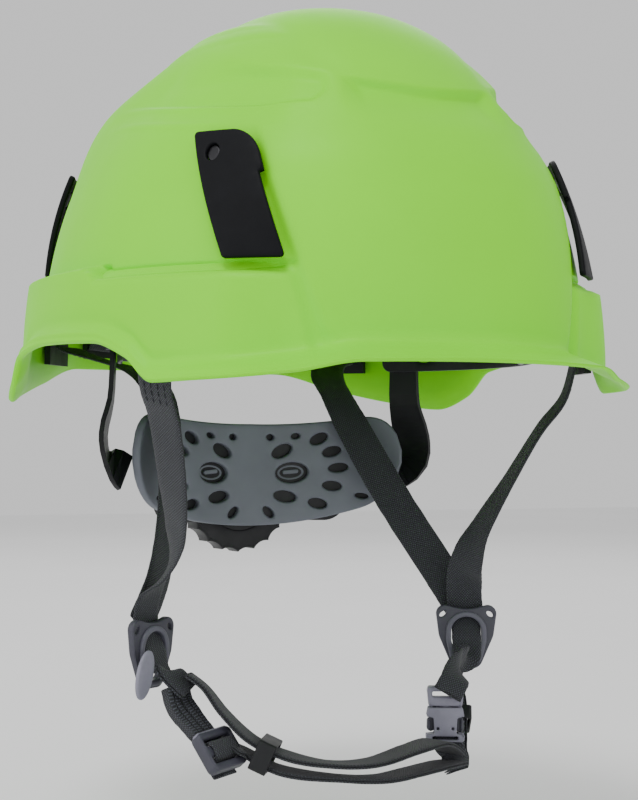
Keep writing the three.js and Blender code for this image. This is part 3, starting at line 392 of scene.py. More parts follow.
SHELL_GREEN = (0.2, 0.76, 0.0)
NEAR_BLACK = srgb(22, 23, 26)
CLIP_BLACK = srgb(13, 14, 17)
BLUE_GREY = srgb(62, 62, 72)
WEB_GREY = srgb(31, 33, 38)
NAPE_GREY = srgb(100, 104, 114)
FOAM_GREY = srgb(44, 46, 50)
PALE_GREY = srgb(122, 121, 135)
RING_GREY = srgb(84, 84, 95)
STEEL_GREY = (0.035, 0.035, 0.038)


def shell_material():
    s = Shader("moulded_shell", SHELL_GREEN, 0.42, IOR=1.5, Specular_IOR_Level=0.12)
    s.colour(s.shades(s.noise(14, 3), SHELL_GREEN, (0.3, 0.965), (0.7, 1.03)))
    s.roughness(s.noise(60, 6, 0.7), 0.36, 0.52)
    peel = s.bump(s.noise(420, 2), 0.00005, 0.35)
    s.bump(s.noise(2600, 2), 0.00003, 0.25, peel)
    return s.material


def moulded_plastic(name, colour, roughness=0.4, grain=2400, shine=0.3):
    """Cloudy, finely grained plastic, rubbed paler in small spots."""
    s = Shader(name, colour, roughness, IOR=1.49, Specular_IOR_Level=shine)
    clouds = s.shades(s.noise(90, 4, 0.6), colour, (0.3, 0.86), (0.72, 1.16))
    s.roughness(s.noise(240, 5, 0.65), roughness - 0.1, roughness + 0.14)
    texture = s.bump(s.noise(grain, 2), 0.00006, 0.5)
    s.bump(s.noise(160, 2), 0.0002, 0.12, texture)
    rubbed = s.ramp(s.noise(700, 6, 0.8), (0.62, 0.0), (0.74, 0.35))
    inputs = {"Factor": rubbed, "A": clouds, "B": (*tint(colour, 1.8), 1)}
    s.colour(s.node("Mix", inputs, data_type="RGBA").outputs["Result"])
    return s.material


def webbing_material(name, colour, pitch=1.25):
    """Woven webbing, its weave coloured with painted shade in the hollows between the yarns and painted
    highlights on their crests. The UV map runs across and along the strap in millimetres.
    """
    s = Shader(name, colour, 0.8, Sheen_Weight=0.08, Sheen_Roughness=0.5)
    uv = s.node("SeparateXYZ", {"Vector": s.coordinates.outputs["UV"]})
    across, along = uv.outputs["X"], uv.outputs["Y"]
    wave = 2 * math.pi / pitch
    rib = s.math("SINE", s.math("MULTIPLY", along, wave))
    yarn = s.math("SINE", s.math("MULTIPLY", across, wave * 1.1))
    over = s.math("MULTIPLY", rib, yarn)
    weave = s.math("ADD", s.math("MULTIPLY", over, 0.5), 0.5)
    fibre = s.noise(900, 3, 0.6)
    mixed = s.math("ADD", s.math("MULTIPLY", weave, 0.75), s.math("MULTIPLY", fibre, 0.4))
    # painted shade and highlight: the weave's hollows are darkened to half and the yarn crests brightened up
    # to 4.5 times; the fibre noise adds random tone
    s.colour(s.shades(mixed, colour, (0.2, 0.5), (0.68, 1.1), (0.95, 4.5)))
    s.roughness(fibre, 0.7, 0.92)
    s.bump(mixed, 0.0003, 1.0)
    return s.material


def foam_material():
    s = Shader("laminated_foam", FOAM_GREY, 0.9, Sheen_Weight=0.4, Sheen_Roughness=0.6)
    cells = s.node("TexVoronoi", {"Vector": s.coordinates.outputs["Object"], "Scale": 1500})
    distance = cells.outputs["Distance"]
    s.colour(s.shades(distance, FOAM_GREY, (0.0, 0.7), (0.7, 1.35)))
    s.bump(distance, 0.0003, 0.6)
    return s.material


def elastomer_material():
    s = Shader("nape_elastomer", NAPE_GREY, 0.55, IOR=1.45)
    s.colour(s.shades(s.noise(35, 4), NAPE_GREY, (0.3, 0.88), (0.7, 1.1)))
    s.roughness(s.noise(200, 4), 0.46, 0.66)
    s.bump(s.noise(2200, 2), 0.00005, 0.4)
    return s.material


def steel_material():
    s = Shader("plated_steel", STEEL_GREY, 0.35, Metallic=1.0)
    s.roughness(s.noise(500, 4), 0.25, 0.5)
    s.bump(s.noise(1500, 2), 0.00003, 0.4)
    return s.material


GREEN = shell_material()
CLIP = moulded_plastic("clip_nylon", CLIP_BLACK, 0.5, shine=0.1)
BLACK = moulded_plastic("black_nylon", NEAR_BLACK, 0.45, 1800)
GREY = moulded_plastic("grey_acetal", BLUE_GREY)
WEB = webbing_material("woven_webbing", WEB_GREY)
NARROW = webbing_material("cradle_webbing", tint(WEB_GREY, 0.8), 1.2)
FOAM = foam_material()
ELASTOMER = elastomer_material()
PALE = moulded_plastic("pale_acetal", PALE_GREY)
RING = moulded_plastic("ring_acetal", RING_GREY)
THREAD = moulded_plastic("bonded_thread", tint(WEB_GREY, 1.5), 0.6, 3000)
STEEL = steel_material()
SLOT_MATERIALS = {
    "shell_plastic": GREEN, "clip_plastic": CLIP, "black_plastic": BLACK, "grey_plastic": GREY,
    "webbing": WEB, "nape_foam": ELASTOMER, "pad_fabric": FOAM, "steel": STEEL,
}
SLOT_OF = {part["node"]: part["material_slot"] for part in frame["record"]["subparts"]}


# ---- Stage ----

# The camera as it was fitted to the photo. Its distance is in metres.
AZIMUTH, ELEVATION, ROLL, DISTANCE = -28.5 * DEGREE, -2.0 * DEGREE, 0.5 * DEGREE, 0.725
FOCAL_PIXELS, PHOTO_HEIGHT, SENSOR, LENS_SHIFT = 1795, 800, 36, (-0.0019, -0.0294)
LIGHTS = (  # name, place, size and power
    ("key", (-0.9, -0.6, 2.0), (0.7, 0.7), 24), ("front", (0.2, -1.7, 0.5), (1.2, 1.0), 3),
    ("side", (-1.5, 0.0, 0.5), (1.2, 1.4), 9), ("rim", (0.9, 1.5, 1.2), (1.2, 0.8), 7),
    ("low", (0.1, -1.0, -0.16), (1.2, 0.3), 2.5),
)
WORLD_STRENGTH, FLOOR_HALF_WIDTH, FLOOR_GAP = 0.8, 3.0, 0.03


def camera():
    """Long lens from the front, towards the wearer's right, level with the chin strap's top."""
    back = Vector((math.sin(AZIMUTH) * math.cos(ELEVATION), -math.cos(AZIMUTH) * math.cos(ELEVATION),
                   math.sin(ELEVATION)))
    data = bpy.data.cameras.new("camera")
    data.sensor_width = SENSOR
    data.lens = SENSOR * FOCAL_PIXELS / PHOTO_HEIGHT
    data.shift_x, data.shift_y = LENS_SHIFT
    piece = bpy.data.objects.new("camera", data)
    bpy.context.scene.collection.objects.link(piece)
    piece.location = back * DISTANCE
    turn = (-back).to_track_quat("-Z", "Y") @ Matrix.Rotation(ROLL, 3, "Z").to_quaternion()
    piece.rotation_euler = turn.to_euler()
    bpy.context.scene.camera = piece


def area_light(name, place, size, power):
    """Light that looks at the origin and can't be seen itself."""
    data = bpy.data.lights.new(name, "AREA")
    data.shape = "RECTANGLE"
    data.size, data.size_y = size
    data.energy = power
    piece = bpy.data.objects.new(name, data)
    bpy.context.scene.collection.objects.link(piece)
    piece.location = place
    piece.rotation_euler = (-Vector(place)).to_track_quat("-Z", "Y").to_euler()
    piece.visible_camera = False


def stage():
    world = bpy.data.worlds.new("studio")
    world.use_nodes = True
    background = world.node_tree.nodes["Background"]
    background.inputs["Color"].default_value = (1, 1, 1, 1)
    background.inputs["Strength"].default_value = WORLD_STRENGTH
    bpy.context.scene.world = world
    for light in LIGHTS:
        area_light(*light)
    s = Shader("pale_floor", (0.86, 0.86, 0.86), 0.7)
    s.colour(s.ramp(s.noise(3, 2), (0.3, 0.85), (0.7, 0.88)))
    side, low = FLOOR_HALF_WIDTH, CAD_BOX[0].z - FLOOR_GAP
    corners = [(-side, -side, low), (side, -side, low), (side, side, low), (-side, side, low)]
    new_object("floor", corners, [(0, 1, 2, 3)], s.material)


camera()
stage()


# ---- Shell ----

def shell_rows(angles):
    """Rings of points down the moulding's outside, round its lip and up its inside."""
    rim = rim_height(from_front(angles))

    def near_rim(surface, fractions):
        return [surface(angles, rim + (RIM_BLEND - rim) * f) for f in fractions]

    def levels(surface, heights):
        return [surface(angles, np.full(len(angles), h)) for h in heights]

    turns = np.concatenate([np.linspace(1.2, 40, 40), np.linspace(41, 64, 60), np.linspace(65, 74, 14)])
    crown = HEIGHT * np.cos(turns * DEGREE) ** (2 / 2.2)
    band = [*np.linspace(45, 40, 4), *np.linspace(39.2, 32, 22), *np.linspace(30.5, RIM_BLEND, 9)]
    rows = levels(outer_surface, [*crown[crown > 46], *band])
    rows += near_rim(outer_surface, [*np.linspace(0.92, 0.1, 13), 0.05, 0.02])
    outer_edge, inner_edge = outer_surface(angles, rim), inner_surface(angles, rim)
    for t in np.linspace(0, 1, 7):
        edge = outer_edge * (1 - t) + inner_edge * t
        edge[:, 2] -= RIM_ROUNDING * np.sin(np.pi * t) ** 0.7
        rows.append(edge)
    rows += near_rim(inner_surface, (0.1, 0.3, 0.6, 0.9))
    return rows + levels(inner_surface, [20, 30, 34, 38, 41, *np.linspace(50, 120, 14), 130, 138, 142, 144.5])


def shell_piece():
    """The moulding, closed at the top of its outside and of its inside."""
    columns = 480
    rows = shell_rows(np.linspace(0, 2 * np.pi, columns, endpoint=False))
    top = outer_surface(np.zeros(1), np.full(1, HEIGHT))
    under = (0, top[0, 1], HEIGHT - SHELL_THICKNESS - CROWN_INSET)
    points = np.vstack([*rows, top, under])
    faces = ring_faces(len(rows), columns)
    last = (len(rows) - 1) * columns
    for i in range(columns):
        j = (i + 1) % columns
        faces.append((j, i, len(points) - 2))
        faces.append((last + i, last + j, len(points) - 1))
    piece = new_object("shell_moulding", points * MM, faces, GREEN)
    finish_piece(piece, ["shell"])


shell_piece()


# ---- Plates bent onto a surface ----

def fillet(corners, steps=6):
    """Closed outline through (x, y, radius) corners, each rounded with an arc, anticlockwise."""
    outline = []
    for i, (x, y, radius) in enumerate(corners):
        corner = np.array((x, y), float)
        before = unit(np.array(corners[i - 1][:2]) - corner)
        after = unit(np.array(corners[(i + 1) % len(corners)][:2]) - corner)
        half = math.acos(float(np.clip(before @ after, -1, 1))) / 2
        reach = radius / math.tan(half)
        centre = corner + unit(before + after) * radius / math.sin(half)
        start, end = before * reach + corner - centre, after * reach + corner - centre
        outline += [centre + radius * unit((1 - t) * start + t * end) for t in np.linspace(0, 1, steps)]
    return turned(outline, True)


def symmetric(corners, steps=6, middle=0.0):
    """Outline from the corners of its right half, going up; the left half mirrors them."""
    right = [(middle + x, y, radius) for x, y, radius in corners]
    left = [(middle - x, y, radius) for x, y, radius in corners]
    return fillet([left[0], *right, *left[:0:-1]], steps)


def turned(outline, anticlockwise):
    p = np.array(outline, float)
    area = np.sum(p[:, 0] * np.roll(p[:, 1], -1) - p[:, 1] * np.roll(p[:, 0], -1))
    return p if (area > 0) == anticlockwise else p[::-1].copy()


def ellipse(x, y, width, height, tilt=0.0, count=28, start=0.0, end=360.0):
    a = np.linspace(start, end, count, endpoint=end - start < 360) * DEGREE
    c, s = math.cos(tilt * DEGREE), math.sin(tilt * DEGREE)
    px, py = width / 2 * np.cos(a), height / 2 * np.sin(a)
    return np.stack((x + c * px - s * py, y + s * px + c * py), -1)


def inset(loop, distance):
    """Loop moved towards the material, which lies on its left."""
    along = unit(np.roll(loop, -1, 0) - np.roll(loop, 1, 0))
    return loop + distance * np.stack((-along[:, 1], along[:, 0]), -1)


def divided(loop, spacing):
    """Loop with points added wherever two neighbours lie further apart than spacing."""
    result = []
    for start, end in zip(loop, np.roll(loop, -1, 0)):
        steps = max(1, math.ceil(np.linalg.norm(end - start) / spacing))
        result.extend(start + (end - start) * i / steps for i in range(steps))
    return np.array(result)


def inside(points, loops):
    """Even-odd test of points against closed loops."""
    result = np.zeros(len(points), bool)
    for loop in loops:
        for (x1, y1), (x2, y2) in zip(loop, np.roll(loop, -1, 0)):
            crosses = (y1 > points[:, 1]) != (y2 > points[:, 1])
            if crosses.any():
                at = (x2 - x1) * (points[:, 1] - y1) / (y2 - y1 if y2 != y1 else 1) + x1
                result ^= crosses & (points[:, 0] < at)
    return result


def fill(loops, spacing):
    """Triangles that fill the first loop outside the others, with a grid of points inside."""
    rim = np.vstack(loops)
    edges, first = [], 0
    for loop in loops:
        edges += [(first + i, first + (i + 1) % len(loop)) for i in range(len(loop))]
        first += len(loop)
    columns = (np.arange(low + spacing / 2, high, spacing) for low, high in zip(rim.min(0), rim.max(0)))
    grid = np.stack([axis.ravel() for axis in np.meshgrid(*columns)], -1)
    grid = grid[inside(grid, loops)]
    if len(grid):
        gap = np.min(np.linalg.norm(grid[:, None] - rim[None], axis=2), 1)
        grid = grid[gap > spacing * 0.45]
    given = [Vector(p) for p in (*rim, *grid)]
    points, _, faces, *_ = delaunay_2d_cdt(given, edges, [], 0, 1e-7)
    points = np.array([tuple(p) for p in points])
    kept = inside(np.array([points[list(f)].mean(0) for f in faces]), loops)
    return points, [tuple(f) for f, k in zip(faces, kept) if k]


def plate_mesh(loops, low, high, round_over, spacing):
    """Points (x, y, level) and faces of a plate with rounded edges, between two levels."""
    loops = [divided(turned(loop, i == 0), spacing) for i, loop in enumerate(loops)]
    turns = np.linspace(0, math.pi / 2, 4)
    profile = [(round_over * (1 - math.sin(t)), high - round_over * (1 - math.cos(t))) for t in turns]
    profile += [(round_over * (1 - math.cos(t)), low + round_over * (1 - math.sin(t))) for t in turns]
    points, faces = [], []

    def add(new_points, new_faces):
        first = sum(len(p) for p in points)
        points.append(new_points)
        faces.extend(tuple(first + i for i in f) for f in new_faces)

    for level, order in ((high, 1), (low, -1)):
        flat, triangles = fill([inset(loop, round_over) for loop in loops], spacing)
        add(np.column_stack((flat, np.full(len(flat), level))), [t[::order] for t in triangles])
    for loop in loops:
        rings = [np.column_stack((inset(loop, d), np.full(len(loop), level))) for d, level in profile]
        add(np.vstack(rings), ring_faces(len(rings), len(loop)))
    return np.vstack(points), faces


def plate_piece(name, loops, surface, levels, material, round_over=0.5, spacing=3.0):
    """Plate cut to outlines in millimetres and carried to surface(x, y, level)."""
    points, faces = plate_mesh(loops, *levels, round_over, spacing)
    piece = new_object(name, np.asarray(surface(*points.T)) * MM, faces, material)
    return weld(piece)


def weld(piece):
    def merge(work):
        bmesh.ops.remove_doubles(work, verts=work.verts, dist=WELD_DISTANCE)
    edited(piece.data, merge, facing_out)
    return piece


def joined(name, pieces):
    """One object from several, keeping each one's materials."""
    target = pieces[0]
    with bpy.context.temp_override(active_object=target, selected_editable_objects=pieces,
                                   selected_objects=pieces, object=target):
        bpy.ops.object.join()
    target.name = name
    return target


def plates(name, surface, parts, replaced=(), body="helmet"):
    """One piece of several plates, each given as outlines, levels, material, rounding and spacing."""
    pieces = [plate_piece(name, outlines, surface, *rest) for outlines, *rest in parts]
    finish_piece(joined(name, pieces), replaced, body)


def flat_frame(centre, x_axis, y_axis):
    """Surface function of a plane: x and y along two axes, level along their cross product."""
    x_axis, y_axis = unit(x_axis), unit(y_axis)
    z_axis = np.cross(x_axis, y_axis)
    centre = np.array(centre, float)
    return lambda x, y, level: centre + np.outer(x, x_axis) + np.outer(y, y_axis) + np.outer(level, z_axis)


# ---- Webbing ----

WEB_WIDTH, WEB_THICKNESS = 15.0, 1.5
WEB_EDGE = np.array([1.0, 0.985, 0.93, 0.72, 0.45, 0.15])  # a quarter of the section, in half widths
WEB_RISE = np.array([0.0, 0.45, 0.82, 1.0, 0.96, 0.94])  # and in half thicknesses
END_LENGTHS, END_SCALES = np.array([0.02, 0.3, 0.8]), [0.35, 0.75, 1.0]
STITCH_LENGTH, STITCH_PITCH, STITCH_LEVEL, THREAD_WIDTH = 2.2, 3.0, 0.72, 0.42
THREE_ROWS, FOUR_ROWS = (-4.6, 0, 4.6), (-4.6, -1.6, 1.6, 4.6)


class Route:
    """Centre line of a strap with the direction that its face looks in, in millimetres."""

    def __init__(self, stations, steps=14):
        self.centre = catmull([s[0] for s in stations], steps)
        facing = unit(catmull([unit(s[1]) for s in stations], steps))
        self.tangent = unit(np.gradient(self.centre, axis=0))
        self.across = unit(np.cross(self.tangent, facing))
        self.face = np.cross(self.across, self.tangent)
        self.length = np.concatenate([[0], np.cumsum(np.linalg.norm(np.diff(self.centre, axis=0), axis=1))])

    def at(self, along, side, level):
        """Points at lengths along the route, sideways and above the strap's middle."""
        def pick(rows):
            return np.stack([np.interp(along, self.length, column) for column in rows.T], -1)
        return (pick(self.centre) + pick(self.across) * np.expand_dims(side, -1)
                + pick(self.face) * np.expand_dims(level, -1))


def webbing(name, route, width, thickness, material=WEB, ripple=0.12):
    """Woven strap with rounded edges and a slightly uneven face. Its UVs are millimetres across and along."""
    side = np.concatenate([WEB_EDGE, -WEB_EDGE[::-1], -WEB_EDGE[1:], WEB_EDGE[:0:-1]])
    level = np.concatenate([WEB_RISE, WEB_RISE[::-1], -WEB_RISE[1:], -WEB_RISE[:0:-1]])
    count = len(side)
    lengths = np.concatenate([END_LENGTHS, route.length[1:-1], route.length[-1] - END_LENGTHS[::-1]])
    shrink = [*END_SCALES, *np.ones(len(lengths) - 2 * len(END_SCALES)), *END_SCALES[::-1]]
    rings, marks = [], []
    for along, end in zip(lengths, shrink):
        waver = 0.06 * math.sin(along * 1.7) + 0.05 * math.sin(along * 0.63 + 1)
        edge = width / 2 * (0.97 + 0.03 * end) + waver
        lift = ripple * math.sin(along * 0.31 + 0.4) * (1 - np.abs(side))
        place = np.full(count, along)
        rings.append(route.at(place, side * edge, (level * thickness / 2 + lift) * end))
        marks.append(np.column_stack((side * width / 2, place)))
    faces = ring_faces(len(rings), count)
    faces += [tuple(range(count))[::-1], tuple(range((len(rings) - 1) * count, len(rings) * count))]
    piece = new_object(name, np.vstack(rings) * MM, faces, material)
    layer = piece.data.uv_layers.new(name="UVMap")
    corner = np.zeros(len(piece.data.loops), int)
    piece.data.loops.foreach_get("vertex_index", corner)
    layer.data.foreach_set("uv", np.vstack(marks)[corner].ravel())
    return piece


def seam(name, route, rows, along, level=STITCH_LEVEL):
    """Rows of thread on a strap's face, at offsets across it, between two lengths along it."""
    points, faces = [], []
    turns = np.linspace(0, 2 * np.pi, 7)[:-1]
    for row in rows:
        for start in np.arange(along[0], along[1] - STITCH_LENGTH + 0.01, STITCH_PITCH):
            first = len(points)
            for t in np.linspace(0, 1, 5):
                size = THREAD_WIDTH / 2 * math.sin(math.pi * (0.08 + 0.84 * t)) ** 0.5
                rise = level + THREAD_WIDTH * 0.35 * math.sin(math.pi * t)
                points.extend(route.at(np.full(6, start + t * STITCH_LENGTH), row + size * np.cos(turns),
                                       rise + size * np.sin(turns)))
            faces += [tuple(first + i for i in f) for f in ring_faces(5, 6)]
            faces += [tuple(first + i for i in range(6))[::-1], tuple(first + 24 + i for i in range(6))]
    return finish_piece(new_object(name, np.array(points) * MM, faces, THREAD))


# ---- Clips on the shell ----

CLIP_LEVEL, CLIP_FOOT_LEVEL, CLIP_THICKNESS = 2.3, 3.4, 2.5
CLIP_MIDDLE, CLIP_TOP, RIVET = 48.0, 83.4, (51.6, 75.0)
CLIP_FEET, RIVET_RECESS, MM_PER_DEGREE = {"front": 36.4, "rear": 42.5}, 1.2, 1.83
CLIP_HEAD = ((57.4, CLIP_TOP, 1.4), (42.6, CLIP_TOP - 0.2, 13.5))  # corners: degrees, height and radius
CLIP_HOOK = ((39.9, 67.4, 0.4), (40.9, 66.8, 0.3))
CLIP_LONG_FOOT, CLIP_FOOT_ANGLES = 37, ((47.4, 0.21), (35.4, 0.17))  # angle and its change per mm of height


def clip_surface(side, rear, foot):
    """Chart of the dome where a clip lies: x in millimetres towards the back, y is height."""
    def surface(x, y, level):
        degrees = CLIP_MIDDLE + x / MM_PER_DEGREE
        degrees = 180 - degrees if rear else degrees
        gap = CLIP_FOOT_LEVEL + (CLIP_LEVEL - CLIP_FOOT_LEVEL) * (y - foot) / (CLIP_TOP - foot)
        return dome_points(side * degrees * DEGREE, y, gap + level)
    return surface


def lamp_clip(side, end):
    """Clip with a wide fixed head, a hook at its front and a long free tongue."""
    foot = CLIP_FEET[end]
    where = f"{end}_{'left' if side > 0 else 'right'}"

    def chart(degrees):
        return (degrees - CLIP_MIDDLE) * MM_PER_DEGREE

    rear_foot, front_foot = (angle + slope * (foot - CLIP_LONG_FOOT) for angle, slope in CLIP_FOOT_ANGLES)
    corners = ((rear_foot, foot, 1.4), *CLIP_HEAD, *CLIP_HOOK, (front_foot, foot, 1.4))
    outline = fillet([(chart(degrees), height, radius) for degrees, height, radius in corners], 14)
    surface = clip_surface(side, end == "rear", foot)
    rivet = (chart(RIVET[0]), RIVET[1])
    plate = plate_piece(f"clip_{where}", [outline, ellipse(*rivet, 5.6, 6.4)], surface,
                        (0.0, CLIP_THICKNESS), CLIP, 0.7, 2.2)
    finish_piece(plate, [f"lamp_clip_{where}"], f"clip_{where}")
    head = plate_piece(f"rivet_{where}", [ellipse(*rivet, 5.4, 6.2)], surface,
                       (0.1, CLIP_THICKNESS - RIVET_RECESS), STEEL, 0.5, 1.2)
    finish_piece(head, [f"clip_rivet_{where}"], f"clip_{where}")


for side_sign in (1, -1):
    for end_name in ("front", "rear"):
        lamp_clip(side_sign, end_name)


# ---- Nape pad ----

NAPE_AXIS_Y, NAPE_RADIUS, NAPE_THICKNESS, NAPE_HALF_ANGLE = -33.0, 95.0, 4.0, 40.5
NAPE_MM_PER_DEGREE, NAPE_LEVEL, NAPE_RISE, NAPE_HALF_HEIGHT = NAPE_RADIUS * DEGREE, -41, 8, 22
FLOWER, BAR_CORNERS = (19.0, -40.0), ((-3.6, -0.9), (3.4, -0.3), (3.4, 1.5), (-3.6, 0.9))
FLOWER_HOLES = (  # x and y from the flower's centre, width, height and tilt
    (0, 0, 15, 9, 4), (-4.6, 9.4, 10, 5.4, 24), (12, 14.9, 8.5, 4.6, 24), (17.8, 9.4, 8.6, 4.4, 14),
    (20.7, 2.3, 8.8, 4, 6), (18, -5.7, 8.6, 4.2, -4), (11.7, -13.4, 8.6, 4.4, -10),
    (-3.0, -10.4, 10.6, 5, -8), (-10.5, -17.2, 6.4, 3.6, -40), (-10.0, 15.4, 3.6, 2.6, 0),
    (1.6, 16.0, 4.2, 2.4, 10), (31, -10, 6, 2.4, -6),
)


def nape_surface(x, y, level):
    """Chart of the pad's cylinder: x in millimetres round it, y is height."""
    angle, radius = x / NAPE_RADIUS, NAPE_RADIUS + level
    return np.stack((radius * np.sin(angle), NAPE_AXIS_Y + radius * np.cos(angle), y), -1)


def nape_outline():
    """Wide rounded band that rises towards its ends."""
    t = np.linspace(-1, 1, 61)
    a = np.abs(t)
    middle = NAPE_LEVEL + NAPE_RISE * a * a
    half_top, half_low = NAPE_HALF_HEIGHT - a, NAPE_HALF_HEIGHT - 6 * a * a
    close = np.maximum(0.02, 1 - np.maximum(0, (a - 0.72) / 0.28) ** 2.4) ** 0.5
    x = t * NAPE_HALF_ANGLE * NAPE_MM_PER_DEGREE
    top = np.column_stack((x, middle + half_top * close))
    low = np.column_stack((x, middle - half_low * close))
    return np.vstack((low, top[::-1]))


def nape_pad():
    """Perforated elastomer pad, with a stiff backing and a small ring and bar in its middle holes."""
    holes = [ellipse(side * (FLOWER[0] + x), FLOWER[1] + y, width, height, side * tilt, 24)
             for side in (1, -1) for x, y, width, height, tilt in FLOWER_HOLES]
    spacing = 2.6
    pad = plate_piece("nape_pad_moulding", [nape_outline(), *holes], nape_surface,
                      (0.0, NAPE_THICKNESS), ELASTOMER, 0.9, spacing)
    finish_piece(pad, ["nape_pad"], "nape_cradle")
    backing = inset(turned(nape_outline(), True), 2.5)
    parts = [([backing], (2.7, NAPE_THICKNESS - 0.2), BLACK, 0.4, 3.5)]
    for side in (1, -1):
        x, y = side * FLOWER[0], FLOWER[1]
        ring = [ellipse(x, y, width, height, side * 4) for width, height in ((12.0, 6.6), (9.6, 4.6))]
        bar = fillet([(x + right, y + up, 0.8) for right, up in BAR_CORNERS])
        parts += [(ring, (2.6, 3.7), ELASTOMER, 0.3, 2), ([bar], (1.9, 3.7), ELASTOMER, 0.3, 2)]
    plates("nape_pad_bosses", nape_surface, parts, body="nape_cradle")


nape_pad()


# ---- Harness webbing ----

TWIST = 28.5 * DEGREE
ADJUSTER = np.array((72.0, 2.0, -106.0))
BUCKLE = np.array((46.5, -22.0, -134.5))
KEEPER = np.array((-38.5, -30.0, -144.0))
KEEPER_AXIS = unit((0.74, -0.54, -0.4))
KEEPER_UP = unit((0.323, -0.236, 0.917))
TAIL_KEEPER = np.array((62.5, -11.5, -140.0))
TAIL_AXIS, TAIL_UP = unit((6.4, 10.5, 18)), unit((0.88, -0.48, 0))
LOCK = np.array((-55.5, -25.5, -142.0))
LOCK_AXIS, LOCK_ACROSS = unit((0.25, -0.75, 0.6)), unit((0.88, 0.48, 0))
FRONT_ANCHOR_ANGLE, REAR_ANCHOR_ANGLE = 64, 138
CHIN_WEB_WIDTH, LOWER_WEB_WIDTH = 12.1, 13.0
LOCK_PATH = (  # places of the webbing in the ladder lock: along it and above it, from its middle
    (-9.5, -3.6), (-6, -3.7), (-3.9, -1), (-2.7, 2.9), (0, 3.7), (2.7, 2.9), (3.9, -1), (6, -3.7), (9, -3.6),
)
REAR_PLACES = {  # by side, from below the rear anchor to above the adjuster
    1: ((58, 98, 9), (42, 70, 1), (38.5, 56, -6), (40, 46, -18), (52, 30, -50), (67, 14, -82)),
    -1: ((-60, 96, 9), (-51, 66, 2), (-49.5, 52, -5), (-49.5, 41, -18), (-53.5, 28, -50), (-63.5, 15, -80)),
}
REAR_FACINGS = ((0.3, 0.5, -0.8), (0.1, 0.3, -0.95), (0.1, 0.6, -0.8), (0.3, 0.85, -0.4), (0.5, 0.85, -0.1),
                (0.5, 0.85, 0))


def oriented_axes(z_axis, y_hint):
    x_axis = unit(np.cross(y_hint, z_axis))
    return x_axis, np.cross(z_axis, x_axis)


def side_vector(side):
    """Direction in which the adjuster on that side looks: forwards and a little inwards."""
    return np.array((-side * math.sin(TWIST), -math.cos(TWIST), 0))


def beside_adjuster(side, forward, rise):
    return ADJUSTER * (side, 1, 1) + side_vector(side) * forward + (0, 0, rise)


def beside_keeper(along, above):
    return KEEPER + KEEPER_AXIS * along + KEEPER_UP * above, KEEPER_UP


def front_strap(side):
    flat = (side, -0.54, 0)
    return Route([
        (dome(side * FRONT_ANCHOR_ANGLE, 7, -1.4), flat), ((side * 90, -41.5, -8), flat),
        ((side * 83.5, -35, -20), flat), ((side * 75.3, -24, -42), (side, -0.45, 0)),
        ((side * 69, -13, -62), (side, -0.15, 0)), ((side * 68, -5, -75), (side * 0.8, 0.5, 0)),
        ((side * 72.2, 4, -87.5), (side * 0.5, 0.85, 0)),
        (beside_adjuster(side, -3.1, 6), (side * 0.48, 0.88, 0)),
    ])


def rear_strap(side):
    middle = [(place, (side * x, y, z)) for place, (x, y, z) in zip(REAR_PLACES[side], REAR_FACINGS)]
    return Route([
        (dome(side * REAR_ANCHOR_ANGLE, 14, -2), (side * 0.6, 0.8, 0)), *middle,
        (beside_adjuster(side, -5.6, 8), (side * 0.48, 0.88, 0)),
    ])


def out_of_adjuster(side, forward, lowest):
    """Webbing that comes through the adjuster's arch from behind and hangs in front of it."""
    return [
        (beside_adjuster(side, -3.4, 8.5), (side * -0.48, -0.88, 0.1)),
        (beside_adjuster(side, -1.2, 4.5), (side * -0.48, -0.88, 0.5)),
        (beside_adjuster(side, forward, -1), side_vector(side) + (0, 0, 0.3)),
        (beside_adjuster(side, *lowest), side_vector(side)),
    ]


def chin_web_left():
    return Route([
        *out_of_adjuster(1, 1.6, (4.1, -9)), ((60.5, -11, -116.5), (-0.4, -0.85, -0.2)),
        ((48.2, -26.4, -121.5), (-0.45, -0.85, 0)), ((44.2, -27, -127), side_vector(1)),
    ])


def chin_fold_right():
    return Route([
        *out_of_adjuster(-1, 1.8, (4.2, -8)), ((-67, -7.5, -115.5), (0.5, -0.85, 0.2)),
        ((-61.5, -11, -121.5), (0.5, -0.75, 0.4)),
    ])


def tail_left():
    places = ((69.2, 4.5, -114.5), (70.6, 3.5, -122), (67.2, 0, -129), TAIL_KEEPER + TAIL_AXIS * 4.5,
              TAIL_KEEPER - TAIL_AXIS * 4.5, (60.8, -14.3, -149))
    return Route([
        *((place, TAIL_UP) for place in places),
        ((58.6, -16.2, -155), (0.8, -0.45, -0.4)), ((53, -20.5, -158.8), (0.35, -0.2, -0.9)),
    ])


def tail_right():
    return Route([
        ((-66.0, -8.0, -120), (0.3, -0.9, 0.2)), ((-65.2, -10.2, -126), (0.3, -0.9, 0.2)),
        ((-62.0, -14.0, -132), (0.35, -0.85, 0.3)), ((-58.5, -19.5, -138), (0.4, -0.8, 0.4)),
    ])


def chin_web_upper():
    return Route([
        ((-62, -10.5, -115), (0.6, -0.3, 0.75)), ((-56.5, -14.5, -120), (0.6, -0.3, 0.75)),
        ((-51, -20, -129), (0.5, -0.3, 0.8)), beside_keeper(-7, 3), beside_keeper(7, 3),
        ((-16.7, -41, -147.6), (0.1, 0, 1)), ((0, -43, -148), (0, 0, 1)), ((19, -40.5, -144.8), (0, 0, 1)),
        ((36, -33, -144.4), (0.1, 0, 1)), ((47.5, -25.5, -150), (0.3, 0.1, 1)),
    ])


